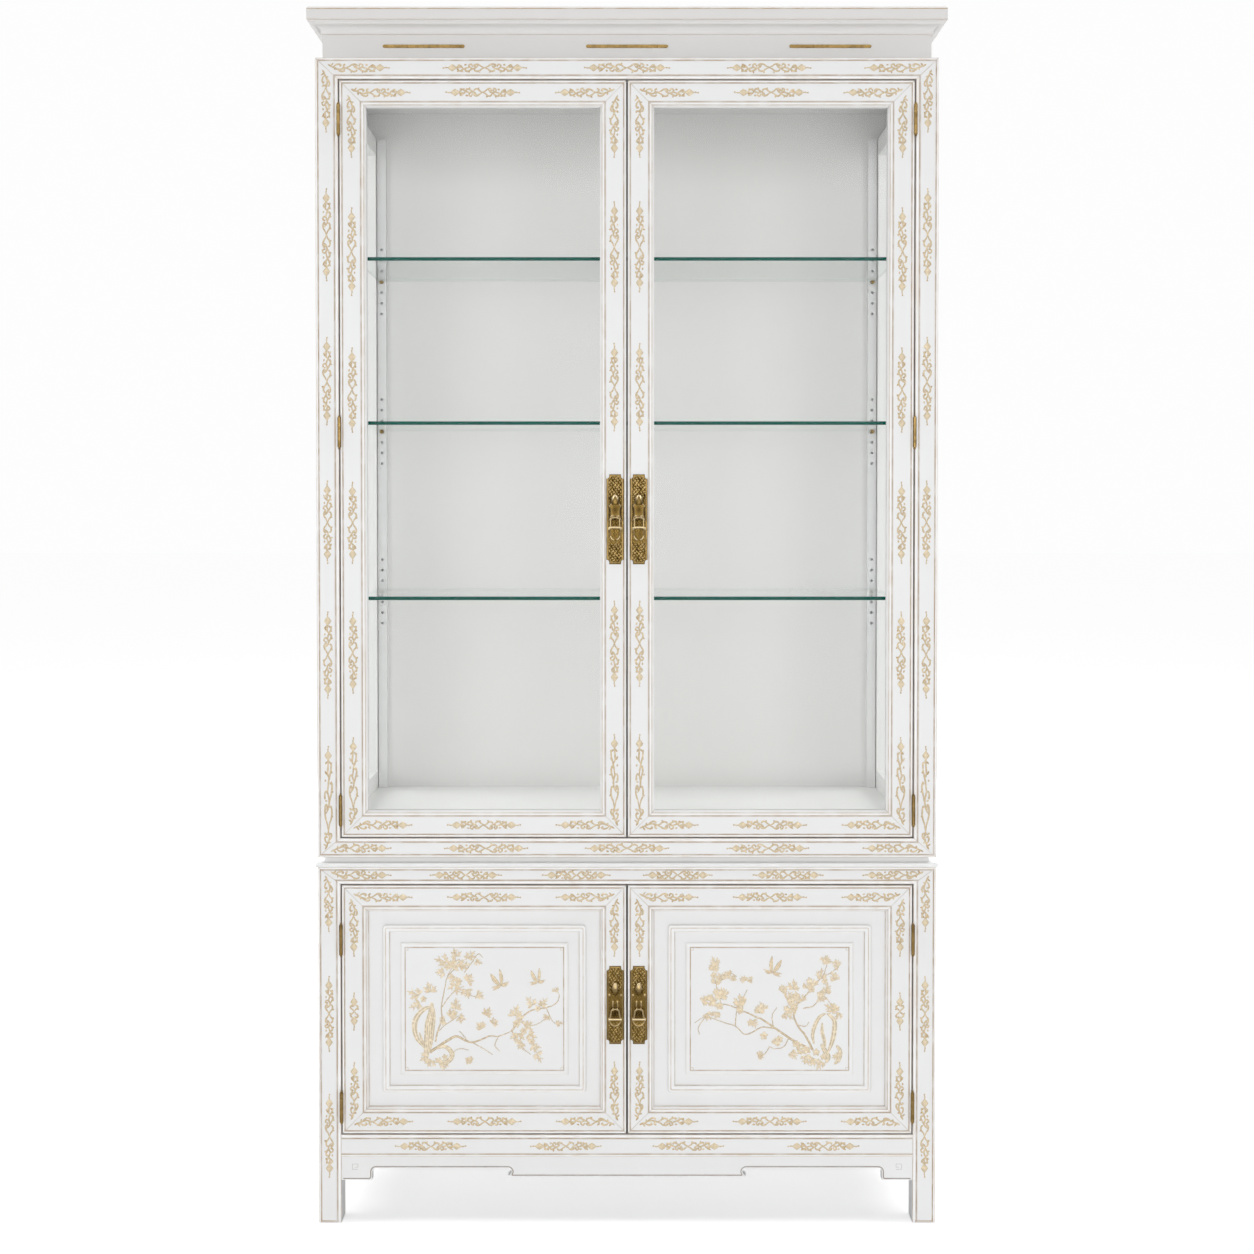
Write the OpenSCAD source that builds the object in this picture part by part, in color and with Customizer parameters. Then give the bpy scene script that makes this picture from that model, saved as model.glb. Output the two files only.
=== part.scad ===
// Display hutch: a glazed upper cabinet with three glass shelves, standing on a lower cupboard
// with two panelled doors. X runs to the right, Y to the back and Z up. The origin is on the
// floor, in the middle of the object's own box. Lengths are in millimetres.

/* [Cases] */
// Width of both cabinets over their corner posts
case_w = 1036; // [940:1:1160]
// Depth of both cabinets, from the face frame to the back edge
case_d = 384; // [330:1:460]
// Height of the lower cabinet with its top board
lower_h = 607.5; // [570:0.5:680]
// Height of the upper cabinet with its crown
upper_h = 1424.5; // [1360:0.5:1500]

/* [Face frames] */
// Width of the corner posts and legs as seen from the front
post_w = 38; // [34:0.5:46]
// Depth of the corner posts and legs
post_d = 44; // [40:1:56]
// Height of the upper cabinet's top rail
upper_top_rail_h = 35.5; // [30:0.5:44]
// Height of the upper cabinet's bottom rail
upper_bottom_rail_h = 32.2; // [28:0.1:40]
// Height of the lower cabinet's top rail
lower_top_rail_h = 28.4; // [25:0.1:36]
// Height of the lower cabinet's bottom rail
lower_bottom_rail_h = 37.5; // [32:0.5:46]
// Width of the bead along a frame member's inner edge
inner_bead = 6; // [4:0.5:8]
// Height of the lip behind a rail that a door closes against
stop_h = 13; // [11:0.5:18]

/* [Crown and plinth] */
// Thickness of the crown's top board
crown_board_t = 22.7; // [18:0.1:30]
// Height of the cove moulding under the top board
cove_h = 19.8; // [16:0.1:26]
// Height of the plain frieze that shows under the cove
frieze_h = 40.4; // [32:0.1:50]
// Thickness of the frieze boards
frieze_t = 18; // [14:1:24]
// How far the frieze stands back from the face frame
frieze_set = 11; // [6:0.5:16]
// How far the crown's top board reaches beyond the frieze
crown_out = 23; // [18:0.5:30]
// How far the top board reaches beyond the cove moulding
crown_lip = 3; // [1:0.5:6]
// Height and width of the top board's chamfer
crown_chamfer = 3.6; // [2:0.2:6]
// Height of the recessed plinth between the two cabinets
plinth_h = 9.2; // [6:0.2:14]
// How far the plinth stands back from the frames
plinth_set = 12; // [6:1:18]
// Width of the plinth's boards
plinth_w = 26; // [20:1:32]
// Thickness of the lower cabinet's top board
lower_board_t = 7.5; // [6:0.5:12]
// How far the lower top board reaches beyond the frames
lower_board_out = 4; // [2:0.5:8]

/* [Brass strips] */
// Length of a brass strip on the frieze
strip_len = 136.5; // [100:0.5:180]
// Height of a brass strip
strip_h = 5.5; // [4:0.5:8]
// How far a brass strip stands out from the frieze
strip_t = 2.2; // [1.5:0.1:4]
// Distance from one brass strip to the next
strip_pitch = 338.5; // [280:0.5:360]
// Height of the strips' middle above the face frame
strip_rise = 21; // [14:0.5:26]

/* [Boards and panels] */
// Thickness of the roof and floor boards
board_t = 18; // [15:1:22]
// Height of the upper floor above the bottom of the upper frame
upper_floor_rise = 63; // [58:1:70]
// Thickness of the back panels
back_t = 6; // [4:1:9]
// How far the back panels sit in from the back edge
back_set = 8; // [5:1:12]
// How deep the back panels are let into the rear posts
back_rebate = 6; // [4:1:9]
// Height of the side frames' top rails
side_top_rail_h = 90; // [70:1:110]
// Height of the side frames' bottom rails
side_bottom_rail_h = 86; // [78:1:100]
// Height of the lower cabinet's side rails
lower_side_rail_h = 70; // [55:1:90]
// How far the side rails stand in from the posts' outer faces
side_set = 3; // [0:0.5:6]
// Thickness of the lower cabinet's side panels
side_panel_t = 10; // [8:1:14]
// How deep panels are let into the members that hold them
panel_groove = 6; // [4:0.5:7]

/* [Glazing] */
// Thickness of the glass in the doors and sides
glass_t = 4; // [3:0.5:5]
// Width of the frames that line the glazed sides
liner_w = 33; // [26:1:40]
// Thickness of the frames that line the glazed sides
liner_t = 18; // [14:1:22]
// Height of the lining frames above the upper floor
liner_h = 1202; // [1140:1:1230]
// How far glass laps over the frame that holds it
glass_lap = 7; // [5:0.5:9]

/* [Shelves] */
// Thickness of a glass shelf
shelf_t = 6; // [5:0.5:9]
// Height of the bottom glass shelf's underside above the upper floor
shelf_rise = 366; // [300:0.5:400]
// Distance between two pin holes
hole_pitch = 19.75; // [16:0.25:22]
// Pin holes from the bottom glass shelf to the middle one
middle_shelf_holes = 15; // [12:1:16]
// Pin holes from the middle glass shelf to the top one
top_shelf_holes = 14; // [12:1:15]
// Spare pin holes above and below each shelf
spare_holes = 3; // [1:1:4]
// Width and depth of the corner strips that hold the shelf pins
strip_w = 16; // [14:1:20]
// Radius of a shelf pin's shank
pin_shank_r = 2.5; // [2:0.1:3]
// Length of a shelf pin's shank inside its hole
pin_shank_len = 8; // [6:0.5:10]
// Length of a shelf pin's tab under the shelf
pin_tab_len = 9; // [7:0.5:12]
// Thickness of the wooden shelf in the lower cabinet
low_shelf_t = 16; // [12:1:20]
// Height of the lower shelf above the lower floor
low_shelf_rise = 190; // [140:1:240]

/* [Doors] */
// Width of the gap round each door
door_gap = 2; // [1.6:0.1:3]
// Thickness of the doors
door_t = 22; // [20:0.5:26]
// Width of the door frame members
door_member = 44; // [42:0.5:52]
// Width of the bead along the outer edge of every member
edge_bead = 4; // [3:0.5:4.5]
// Width of the fine groove beside each bead
quirk_w = 1; // [0.6:0.1:1.4]
// Depth of the fine groove below the bead's crest
quirk_d = 1.2; // [0.8:0.1:1.8]
// How far the flat band lies below the beads' crest
band_drop = 0.5; // [0.2:0.1:0.8]
// Width of the bead and slope along a door's opening
sticking = 8; // [7:0.5:10]
// Width of the bead within the sticking
sticking_bead = 4.5; // [3.5:0.5:5.5]
// Depth of the slope at the opening's edge
sticking_d = 5; // [3:0.5:6.5]
// Depth from the door's face to its glass
glass_set = 10; // [8:0.5:12]
// Depth from the door's face to its panel
panel_set = 8; // [7:0.5:9.5]
// Thickness of the door panels' field
panel_t = 9; // [7:0.5:10]
// Distance from the opening to the raised ring on a door panel
ring_margin = 24; // [16:1:34]
// Width of the raised ring
ring_w = 11; // [8:0.5:14]
// Height of the raised ring above the field
ring_h = 4.5; // [3:0.5:6.5]
// Distance from the opening to the raised tablet
tablet_margin = 54; // [48:1:68]
// Height of the raised tablet above the field
tablet_h = 3.5; // [2:0.5:5]
// Width of the tablet's sloped edge
tablet_slope = 3.5; // [2:0.5:5]
// Distance from the tablet's edge to its fine line
tablet_line_in = 7; // [6:0.5:10]
// Width and depth of the tablet's fine line
tablet_line = 0.9; // [0.6:0.1:1.4]

/* [Hinges] */
// Height of a hinge
hinge_h = 50; // [40:5:60]
// Radius of a hinge knuckle
knuckle_r = 3; // [2.6:0.1:3.4]
// Radius of a hinge pin
hinge_pin_r = 1.2; // [1:0.1:1.5]
// Thickness of a hinge leaf
leaf_t = 0.75; // [0.5:0.05:0.75]
// How far a hinge leaf reaches into the gap behind the face
leaf_w = 17; // [12:1:19]
// Distance from a tall door's bottom to its lowest hinge
tall_hinge_low = 45; // [35:1:80]
// Distance from a tall door's bottom to its middle hinge
tall_hinge_mid = 677; // [560:1:720]
// Distance from a tall door's top to its top hinge
tall_hinge_top = 65; // [35:1:90]
// Distance from a lower door's bottom to its lower hinge
low_hinge_low = 45; // [35:1:80]
// Distance from a lower door's top to its upper hinge
low_hinge_top = 91; // [35:1:110]

/* [Pulls] */
// Width of a brass backplate
plate_w = 29; // [25:0.5:29.5]
// Height of an upper door's backplate
tall_plate_h = 150; // [120:1:170]
// Height of a lower door's backplate
low_plate_h = 131.6; // [115:0.2:150]
// Thickness of a backplate
plate_t = 2; // [1.5:0.1:3]
// Depth and height of the steps cut out of a backplate's corners
plate_step = [4.7, 7.6];
// Distance from an upper door's bottom to the middle of its backplate
tall_plate_rise = 532; // [420:1:600]
// Distance from a lower door's bottom to the middle of its backplate
low_plate_rise = 217; // [160:1:260]
// Distance from an upper backplate's middle up to its pull's pivot
tall_pivot_up = 3; // [-10:0.5:15]
// Distance from a lower backplate's middle up to its pull's pivot
low_pivot_up = -4; // [-10:0.5:15]
// Distance from the backplate to the pull's pivot
pivot_out = 10.5; // [9:0.5:14]
// Radius of the pull's loop
loop_r = 1.5; // [1.2:0.1:1.7]
// Distance between the middles of an upper loop's arms
loop_w = 15; // [13:0.5:17]
// Distance between the tops of a lower loop's arms
low_loop_w = 13.5; // [13:0.5:15]
// Distance between the feet of a lower loop's arms, which spread
low_loop_foot_w = 17.5; // [15:0.5:19]
// Length of the loop from its pivot to the crossbar
loop_len = 17; // [14:0.5:24]
// Radius of the crossbar
bar_r = 2; // [1.8:0.1:2.6]
// Length of the crossbar with its round ends
bar_len = 25; // [20:0.5:27]
// Radius of the bullet boss above the pull
boss_r = 5.8; // [4.5:0.1:7]
// Height of the bullet boss
boss_h = 18; // [14:0.5:22]
// Distance from the pivot up to the foot of the bullet boss
boss_up = 22; // [16:0.5:26]
// Distance between the middles of the two lugs
lug_pitch = 7; // [6:0.5:7.5]
// Thickness of a lug
lug_t = 2.2; // [1.6:0.1:2.6]
// Radius of a lug round its eye
lug_r = 3.2; // [2.8:0.1:4]
// Width of the raised hanger between an upper boss and its pull
hanger_w = 16.4; // [14:0.2:18]
// How far the hanger stands out of its plate
hanger_t = 1.2; // [0.8:0.1:1.8]
// Distance between the two raised prongs under a lower boss
prong_pitch = 7.2; // [6:0.2:9]
// Length of the prongs
prong_len = 11; // [8:0.5:14]
// Width of the prongs and of the raised rim under each pull
rim_w = 1.8; // [1.2:0.1:2.4]
// How far the prongs and the rim stand out of the plate
rim_t = 0.8; // [0.5:0.1:1.2]
// Length of the straight sides of the rim under an upper pull
rim_side = 10; // [6:0.5:14]
// Angle that the rim under an upper pull leaves open at its foot
rim_open = 44; // [20:2:70]

/* [Apron] */
// Height of the open space under the apron's corner blocks
foot_h = 71.8; // [50:0.1:90]
// Thickness of the aprons
apron_t = 18; // [14:1:22]
// How far the aprons stand back from the face frame
apron_set = 2; // [1:0.5:5]
// Depth of the apron where it is narrowest
apron_h = 19.8; // [15:0.1:26]
// Extra depth of the apron's middle part
apron_mid = 14.3; // [8:0.1:20]
// Extra depth of the apron's corner blocks
apron_end = 19.9; // [10:0.1:26]
// Half the length of the front apron's middle part
apron_mid_half = 194; // [140:1:260]
// Length of the apron's corner blocks
apron_end_len = 51.3; // [36:0.1:70]
// Radius of the apron's rounded steps
apron_round = 6; // [3:0.5:8]

/* [Fits] */
// Gap at glued joints between pieces that share one name
joint_gap = 0.05; // [0.03:0.01:0.1]
// Clearance between a panel or pane and its groove or rebate
pane_clear = 0.5; // [0.2:0.1:1]
// Clearance between a pin and its hole, on the radius
pin_clear = 0.06; // [0.04:0.01:0.09]
// Clearance between the shelves and the frames beside them
shelf_clear = 3; // [1:0.5:5]
// Clearance between a closed door's back and what stands behind it
door_back_clear = 2; // [1.5:0.1:3]
// Radius of a door catch's magnet
catch_r = 4; // [3:0.5:4.5]
// Length of a door catch's magnet
catch_len = 14; // [10:1:16]
// Gap between a door catch and the closed door
catch_gap = 0.3; // [0.2:0.1:0.8]
// Distance from a door's edge bead to the backplate beside it
plate_clear = 0.3; // [0.1:0.1:0.8]
// Distance from a hinge's knuckles back to the frame's face
knuckle_back = 0.3; // [0.2:0.1:0.6]
// Distance from a lug's side to the start of the loop's bend
lug_side_clear = 0.15; // [0.1:0.05:0.4]

/* [Hidden] */
$fn = 48;

// Depths: the front of the frames, the back edge and the planes between them
pull_reach = plate_t - band_drop + pivot_out + max(bar_r, lug_r);
front_reach = max(pull_reach, crown_out - frieze_set);
front_y = (front_reach - case_d) / 2;
back_y = front_y + case_d;
back_panel_y = back_y - back_set - back_t;
inside_y = front_y + door_t + door_back_clear;
post_back_y = front_y + post_d;
rear_post_y = back_y - post_d;

// Widths, measured from the middle
half_w = case_w / 2;
inner_x = half_w - post_w;
liner_x = inner_x - liner_t;
rail_x = inner_x + glass_t;
side_face_x = half_w - side_set;
side_panel_x = (rail_x + side_face_x - side_panel_t) / 2;
strip_x = liner_x - strip_w;
frieze_x = half_w - frieze_set;

// Heights of the lower cabinet
lower_frame_top = lower_h - lower_board_t;
apron_top = foot_h + apron_end + apron_h;
lower_opening_bottom = apron_top + lower_bottom_rail_h;
lower_opening_top = lower_frame_top - lower_top_rail_h;
lower_floor_z = lower_opening_bottom + board_t;
low_shelf_z = lower_floor_z + low_shelf_rise;

// Heights of the upper cabinet
upper_z = lower_h + plinth_h;
total_h = lower_h + upper_h;
crown_board_z = total_h - crown_board_t;
upper_frame_top = crown_board_z - cove_h - frieze_h;
upper_opening_bottom = upper_z + upper_bottom_rail_h;
upper_opening_top = upper_frame_top - upper_top_rail_h;
upper_floor_z = upper_z + upper_floor_rise;
liner_top = upper_floor_z + liner_h;
glass_low = upper_z + side_bottom_rail_h - glass_lap;
glass_high = upper_frame_top - side_top_rail_h + glass_lap;
strip_z = upper_frame_top + strip_rise;

// Shelves: undersides, and the run of pin holes
shelf_z = [
    upper_floor_z + shelf_rise,
    upper_floor_z + shelf_rise + middle_shelf_holes * hole_pitch,
    upper_floor_z + shelf_rise + (middle_shelf_holes + top_shelf_holes) * hole_pitch,
];
front_strip_y = inside_y + strip_w;
rear_strip_y = back_panel_y - strip_w;
pin_x = strip_x + strip_w / 2;
pin_tab_r = pin_shank_r + 1;
pin_collar = [pin_shank_r + 1.5, 1.5];
low_pin_ys = [post_back_y - post_d / 4, rear_post_y + post_d / 4];

// Doors
door_outer_x = inner_x - door_gap;
door_inner_x = door_gap / 2;
door_xs = [door_inner_x, door_outer_x];
upper_door_z = [upper_opening_bottom + door_gap, upper_opening_top - door_gap];
lower_door_z = [lower_opening_bottom + door_gap, lower_opening_top - door_gap];
rebate = glass_lap + pane_clear;
hinge_x = inner_x - door_gap / 2;
hinge_y = front_y - knuckle_r - knuckle_back;
knuckles = 5;
knuckle_h = hinge_h / knuckles;
leaf_gap = door_gap / 2 - leaf_t;
tall_hinges = [
    upper_door_z[0] + tall_hinge_low,
    upper_door_z[0] + tall_hinge_mid,
    upper_door_z[1] - tall_hinge_top,
];
low_hinges = [lower_door_z[0] + low_hinge_low, lower_door_z[1] - low_hinge_top];

// Pulls: the plate lies on the band between the edge bead and the sticking
plate_back_y = front_y + band_drop;
plate_front_y = plate_back_y - plate_t;
plate_x = door_inner_x + edge_bead + plate_clear + plate_w / 2;
pivot_y = plate_front_y - pivot_out;
tall_plate_z = upper_door_z[0] + tall_plate_rise;
low_plate_z = lower_door_z[0] + low_plate_rise;

// Outlines that are shares of the piece that they shape: [across or out, up]
cove_foot = [0.14, 0.2];
cove_crest = [0.74, 0.66];
cove_fillet = 0.8;
cove_ovolo = [0.94, 0.86];
boss_crown = 0.62;
boss_waist = 0.86;
strip_ledge = 0.6;
strip_pin_at = -0.36;
side_apron_mid = 0.35;
hanger_half = [
    [0.76, -0.15], [1.32, -0.21], [1.16, -0.04], [1, 0.14], [0.98, 0.46],
    [1.07, 0.7], [1.32, 0.86], [1.1, 0.92], [0.84, 1], [0.7, 1.1],
];

bead_steps = 8;
cove_steps = 10;

// Colours
lacquer = [0.94, 0.94, 0.93];
lacquer_shade = [0.88, 0.88, 0.87];
brass = [0.66, 0.51, 0.26];
glass = [0.72, 0.86, 0.83, 0.45];

// A plain block between two places on each axis
module block(xs, ys, zs) {
    translate([xs[0], ys[0], zs[0]])
        cube([xs[1] - xs[0], ys[1] - ys[0], zs[1] - zs[0]]);
}

// The children on the right, and their mirror image on the left
module both_sides() {
    children();
    mirror([1, 0, 0]) children();
}

// Points [depth, across] of a rounded bead whose crest touches depth 0
function bead(across_0, across_1) = [
    for (i = [0 : bead_steps])
        let (a = 180 * i / bead_steps)
        [
            quirk_d * (1 - sin(a)),
            (across_0 + across_1) / 2 - (across_1 - across_0) / 2 * cos(a),
        ]
];

// Face of a member: edge bead, groove, flat band and groove, up to the inner moulding
function band_points(across_end) = concat(
    bead(0, edge_bead),
    [
        [quirk_d, edge_bead + quirk_w],
        [band_drop, edge_bead + quirk_w],
        [band_drop, across_end - quirk_w],
        [quirk_d, across_end - quirk_w],
    ]
);

// Section of a face frame member: a bead on each edge and a flat band between
module face_section(w, t) {
    polygon(concat(
        [[t, 0]],
        band_points(w - inner_bead),
        bead(w - inner_bead, w),
        [[t, w]]
    ));
}

// Section of a door member; back_points shape its rebate or groove
module door_section(back_points) {
    edge = door_member - sticking;
    polygon(concat(
        [[door_t, 0]],
        band_points(edge),
        bead(edge, edge + sticking_bead),
        [[sticking_d, door_member]],
        back_points
    ));
}

module glazed_section() {
    door_section([
        [glass_set, door_member],
        [glass_set, door_member - rebate],
        [door_t, door_member - rebate],
    ]);
}

module panelled_section() {
    groove = panel_groove + pane_clear;
    door_section([
        [panel_set, door_member],
        [panel_set, door_member - groove],
        [panel_set + panel_t, door_member - groove],
        [panel_set + panel_t, door_member],
        [door_t, door_member],
    ]);
}

// A member along X: its section is the child, drawn as [depth, across], with the outer edge
// on Z = 0 and the face on Y = 0. The cuts shorten its inner edge, which makes the mitres.
module member(run, w, t, cut_0, cut_1, gap = 0) {
    intersection() {
        rotate([90, 0, 90]) linear_extrude(run) children();
        translate([0, t + 1, 0]) rotate([90, 0, 0]) linear_extrude(t + 2)
            polygon([
                [gap, -1], [run - gap, -1], [run - gap, 0],
                [run - cut_1 - gap, w], [cut_0 + gap, w], [gap, 0],
            ]);
    }
}

// Places for a member along one side of a rectangle
module along_bottom(x, y, z) {
    translate([x, y, z]) children();
}

module along_top(x, y, z) {
    translate([x, y, z]) mirror([0, 0, 1]) children();
}

module along_left(x, y, z) {
    translate([x, y, z]) mirror([1, 0, -1]) children();
}

module along_right(x, y, z) {
    translate([x, y, z]) mirror([1, 0, 0]) mirror([1, 0, -1]) children();
}

// Four mitred members round a rectangle, all with the section given as the child
module mitred_frame(xs, y, zs, w, t, gap) {
    run_x = xs[1] - xs[0];
    run_z = zs[1] - zs[0];
    along_bottom(xs[0], y, zs[0]) member(run_x, w, t, w, w, gap) children();
    along_top(xs[0], y, zs[1]) member(run_x, w, t, w, w, gap) children();
    along_left(xs[0], y, zs[0]) member(run_z, w, t, w, w, gap) children();
    along_right(xs[1], y, zs[0]) member(run_z, w, t, w, w, gap) children();
}

// Turns a frame drawn in the XZ plane so that its face looks in from the right side
module facing_inward(x, y) {
    translate([x, y, 0]) rotate([0, 0, -90]) children();
}

// Right half of a board with a bullnose edge on its front and side
module nosed_board(x, ys, z, t) {
    r = t / 2;
    block([0, x - r], [ys[0] + r, ys[1]], [z, z + t]);
    translate([0, ys[0] + r, z + r]) rotate([0, 90, 0]) cylinder(h = x - r, r = r);
    translate([x - r, ys[1], z + r]) rotate([90, 0, 0]) cylinder(h = ys[1] - ys[0] - r, r = r);
    translate([x - r, ys[0] + r, z + r]) sphere(r = r);
}

// Section of the crown's cove, drawn as [out from the frieze, up from its foot]
module cove_section() {
    out = crown_out - crown_lip;
    foot = [out * cove_foot[0], cove_h * cove_foot[1]];
    crest = [out * cove_crest[0], cove_h * cove_crest[1]];
    ovolo = [out * cove_ovolo[0], cove_h * cove_ovolo[1]];
    fillet = out * cove_fillet;
    polygon(concat(
        [[0, 0], [foot[0], 0], foot],
        [for (i = [1 : cove_steps])
            let (a = 90 * i / cove_steps)
            [crest[0] - (crest[0] - foot[0]) * cos(a), foot[1] + (crest[1] - foot[1]) * sin(a)]],
        [[fillet, crest[1]]],
        [for (i = [1 : cove_steps])
            let (a = 90 * i / cove_steps)
            [fillet + (ovolo[0] - fillet) * sin(a), ovolo[1] - (ovolo[1] - crest[1]) * cos(a)]],
        [[out, ovolo[1]], [out, cove_h], [0, cove_h]]
    ));
}

// Crown
module crown_top_board() {
    x = frieze_x + crown_out;
    y = front_y + frieze_set - crown_out;
    c = crown_chamfer;
    long = 2 * x + 2;
    color(lacquer) difference() {
        block([-x, x], [y, back_y], [crown_board_z, total_h]);
        translate([-x - 1, y, total_h]) rotate([90, 0, 90]) linear_extrude(long)
            polygon([[-1, 1], [c, 1], [c, 0], [0, -c], [-1, -c]]);
        both_sides() translate([x, back_y + 1, total_h]) rotate([90, 0, 0])
            linear_extrude(case_d + long)
            polygon([[1, 1], [-c, 1], [-c, 0], [0, -c], [1, -c]]);
    }
}

module crown_moulding() {
    out = crown_out - crown_lip;
    face_y = front_y + frieze_set;
    z = crown_board_z - cove_h;
    reach = 2 * frieze_x;
    color(lacquer) {
        intersection() {
            translate([-reach, face_y, z]) rotate([90, 0, 90]) linear_extrude(2 * reach)
                mirror([1, 0]) cove_section();
            translate([0, 0, z - 1]) linear_extrude(cove_h + 2) polygon([
                [-frieze_x, face_y], [frieze_x, face_y],
                [frieze_x + out, face_y - out], [-frieze_x - out, face_y - out],
            ]);
        }
        both_sides() intersection() {
            translate([frieze_x, back_y, z]) rotate([90, 0, 0]) linear_extrude(case_d + out)
                cove_section();
            translate([0, 0, z - 1]) linear_extrude(cove_h + 2) polygon([
                [frieze_x, face_y + joint_gap], [frieze_x, back_y],
                [frieze_x + out, back_y], [frieze_x + out, face_y - out + joint_gap],
            ]);
        }
    }
}

module frieze_boards() {
    zs = [upper_frame_top, crown_board_z];
    face_y = front_y + frieze_set;
    ys = [face_y + frieze_t + joint_gap, back_y - frieze_t - joint_gap];
    color(lacquer) {
        block([-frieze_x, frieze_x], [face_y, face_y + frieze_t], zs);
        block([-frieze_x, frieze_x], [back_y - frieze_t, back_y], zs);
        both_sides() block([frieze_x - frieze_t, frieze_x], ys, zs);
    }
}

module frieze_brass_strips() {
    r = strip_h / 2;
    half = strip_len / 2 - r;
    face_y = front_y + frieze_set;
    pin_at = strip_pin_at * strip_len;
    color(brass) for (i = [-1 : 1]) translate([i * strip_pitch, face_y, strip_z]) {
        rotate([90, 0, 0]) linear_extrude(strip_t * strip_ledge) {
            square([2 * half, strip_h], center = true);
            translate([-half, 0]) circle(r = r);
            translate([half, 0]) circle(r = r);
        }
        rotate([90, 0, 0]) linear_extrude(strip_t) {
            square([2 * half, strip_h * strip_ledge], center = true);
            translate([-half, 0]) circle(r = r * strip_ledge);
            translate([half, 0]) circle(r = r * strip_ledge);
        }
        translate([pin_at, 0, 0]) rotate([90, 0, 0]) cylinder(h = strip_t + 0.5, r = r * 0.5);
    }
}

// Upper cabinet
module upper_top_panel() {
    color(lacquer_shade)
        block([-inner_x, inner_x], [post_back_y, back_panel_y],
            [upper_frame_top - board_t, upper_frame_top]);
}

module upper_stile() {
    run = upper_frame_top - upper_z;
    along_left(-half_w, front_y, upper_z)
        member(run, post_w, post_d, upper_bottom_rail_h, upper_top_rail_h)
        face_section(post_w, post_d);
}

module upper_front_stile_left() {
    color(lacquer) upper_stile();
}

module upper_front_stile_right() {
    color(lacquer) mirror([1, 0, 0]) upper_stile();
}

// The lip that the doors close against, with the magnets' holes
module stop_lip(top) {
    difference() {
        block([-inner_x, inner_x], [inside_y, post_back_y], [top - stop_h, top]);
        both_sides() catch_body(top - stop_h / 2, catch_r + pin_clear, 1);
    }
}

// A magnet catch, or its hole when over is more than 0
module catch_body(z, r, over) {
    y = front_y + door_t + catch_gap;
    translate([door_inner_x + door_member, y - over, z]) rotate([-90, 0, 0])
        cylinder(h = catch_len + over, r = r);
}

module upper_front_top_rail() {
    color(lacquer) {
        along_top(-half_w, front_y, upper_frame_top)
            member(case_w, upper_top_rail_h, post_d, post_w, post_w)
            face_section(upper_top_rail_h, post_d);
        stop_lip(upper_opening_top);
    }
}

module upper_front_bottom_rail() {
    color(lacquer) {
        along_bottom(-half_w, front_y, upper_z)
            member(case_w, upper_bottom_rail_h, post_d, post_w, post_w)
            face_section(upper_bottom_rail_h, post_d);
        block([-inner_x, inner_x], [inside_y, post_back_y],
            [upper_opening_bottom, upper_floor_z - board_t]);
    }
}

// A rear post or leg, rebated for the back panel
module rear_post(zs) {
    difference() {
        block([inner_x, half_w], [rear_post_y, back_y], zs);
        block([inner_x - 1, inner_x + back_rebate], [back_panel_y, back_y + 1],
            [zs[0] - 1, zs[1] + 1]);
    }
}

module upper_rear_posts() {
    color(lacquer) both_sides() rear_post([upper_z, upper_frame_top]);
}

module upper_side_rails() {
    ys = [post_back_y, rear_post_y];
    color(lacquer) both_sides() {
        block([rail_x, side_face_x], ys, [upper_z, upper_z + side_bottom_rail_h]);
        block([rail_x, side_face_x], ys, [upper_frame_top - side_top_rail_h, upper_frame_top]);
    }
}

// Section of a lining frame: a flat with a bead on its inner edge
module liner_section() {
    polygon(concat(
        [[liner_t, 0], [quirk_d, 0], [quirk_d, liner_w - inner_bead]],
        bead(liner_w - inner_bead, liner_w),
        [[liner_t, liner_w]]
    ));
}

module side_glazing_frames() {
    color(lacquer) both_sides() facing_inward(liner_x, back_panel_y)
        mitred_frame([0, back_panel_y - inside_y], 0, [upper_floor_z, liner_top],
            liner_w, liner_t, joint_gap)
        liner_section();
}

module side_glass_panes() {
    color(glass) both_sides()
        block([inner_x, rail_x], [post_back_y + pane_clear, rear_post_y - pane_clear],
            [glass_low, glass_high]);
}

module upper_back_panel() {
    x = inner_x + back_rebate - pane_clear;
    color(lacquer_shade)
        block([-x, x], [back_panel_y, back_panel_y + back_t], [upper_z, upper_frame_top]);
}

module upper_floor_board() {
    color(lacquer)
        block([-inner_x, inner_x], [inside_y, back_panel_y],
            [upper_floor_z - board_t, upper_floor_z]);
}

module upper_base_plinth() {
    x = half_w - plinth_set;
    y = front_y + plinth_set;
    zs = [lower_h, upper_z];
    ys = [y + plinth_w + joint_gap, back_y - plinth_w - joint_gap];
    color(lacquer_shade) {
        block([-x, x], [y, y + plinth_w], zs);
        block([-x, x], [back_y - plinth_w, back_y], zs);
        both_sides() block([x - plinth_w, x], ys, zs);
    }
}

module glass_shelf(z) {
    x = liner_x - shelf_clear;
    ys = [front_strip_y + shelf_clear, rear_strip_y - shelf_clear];
    color(glass) block([-x, x], ys, [z, z + shelf_t]);
}

module glass_shelf_top() {
    glass_shelf(shelf_z[2]);
}

module glass_shelf_middle() {
    glass_shelf(shelf_z[1]);
}

module glass_shelf_bottom() {
    glass_shelf(shelf_z[0]);
}

// Heights of a shelf pin's axis and of the spare holes round it
function pin_z(shelf) = shelf_z[shelf] - joint_gap;

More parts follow.
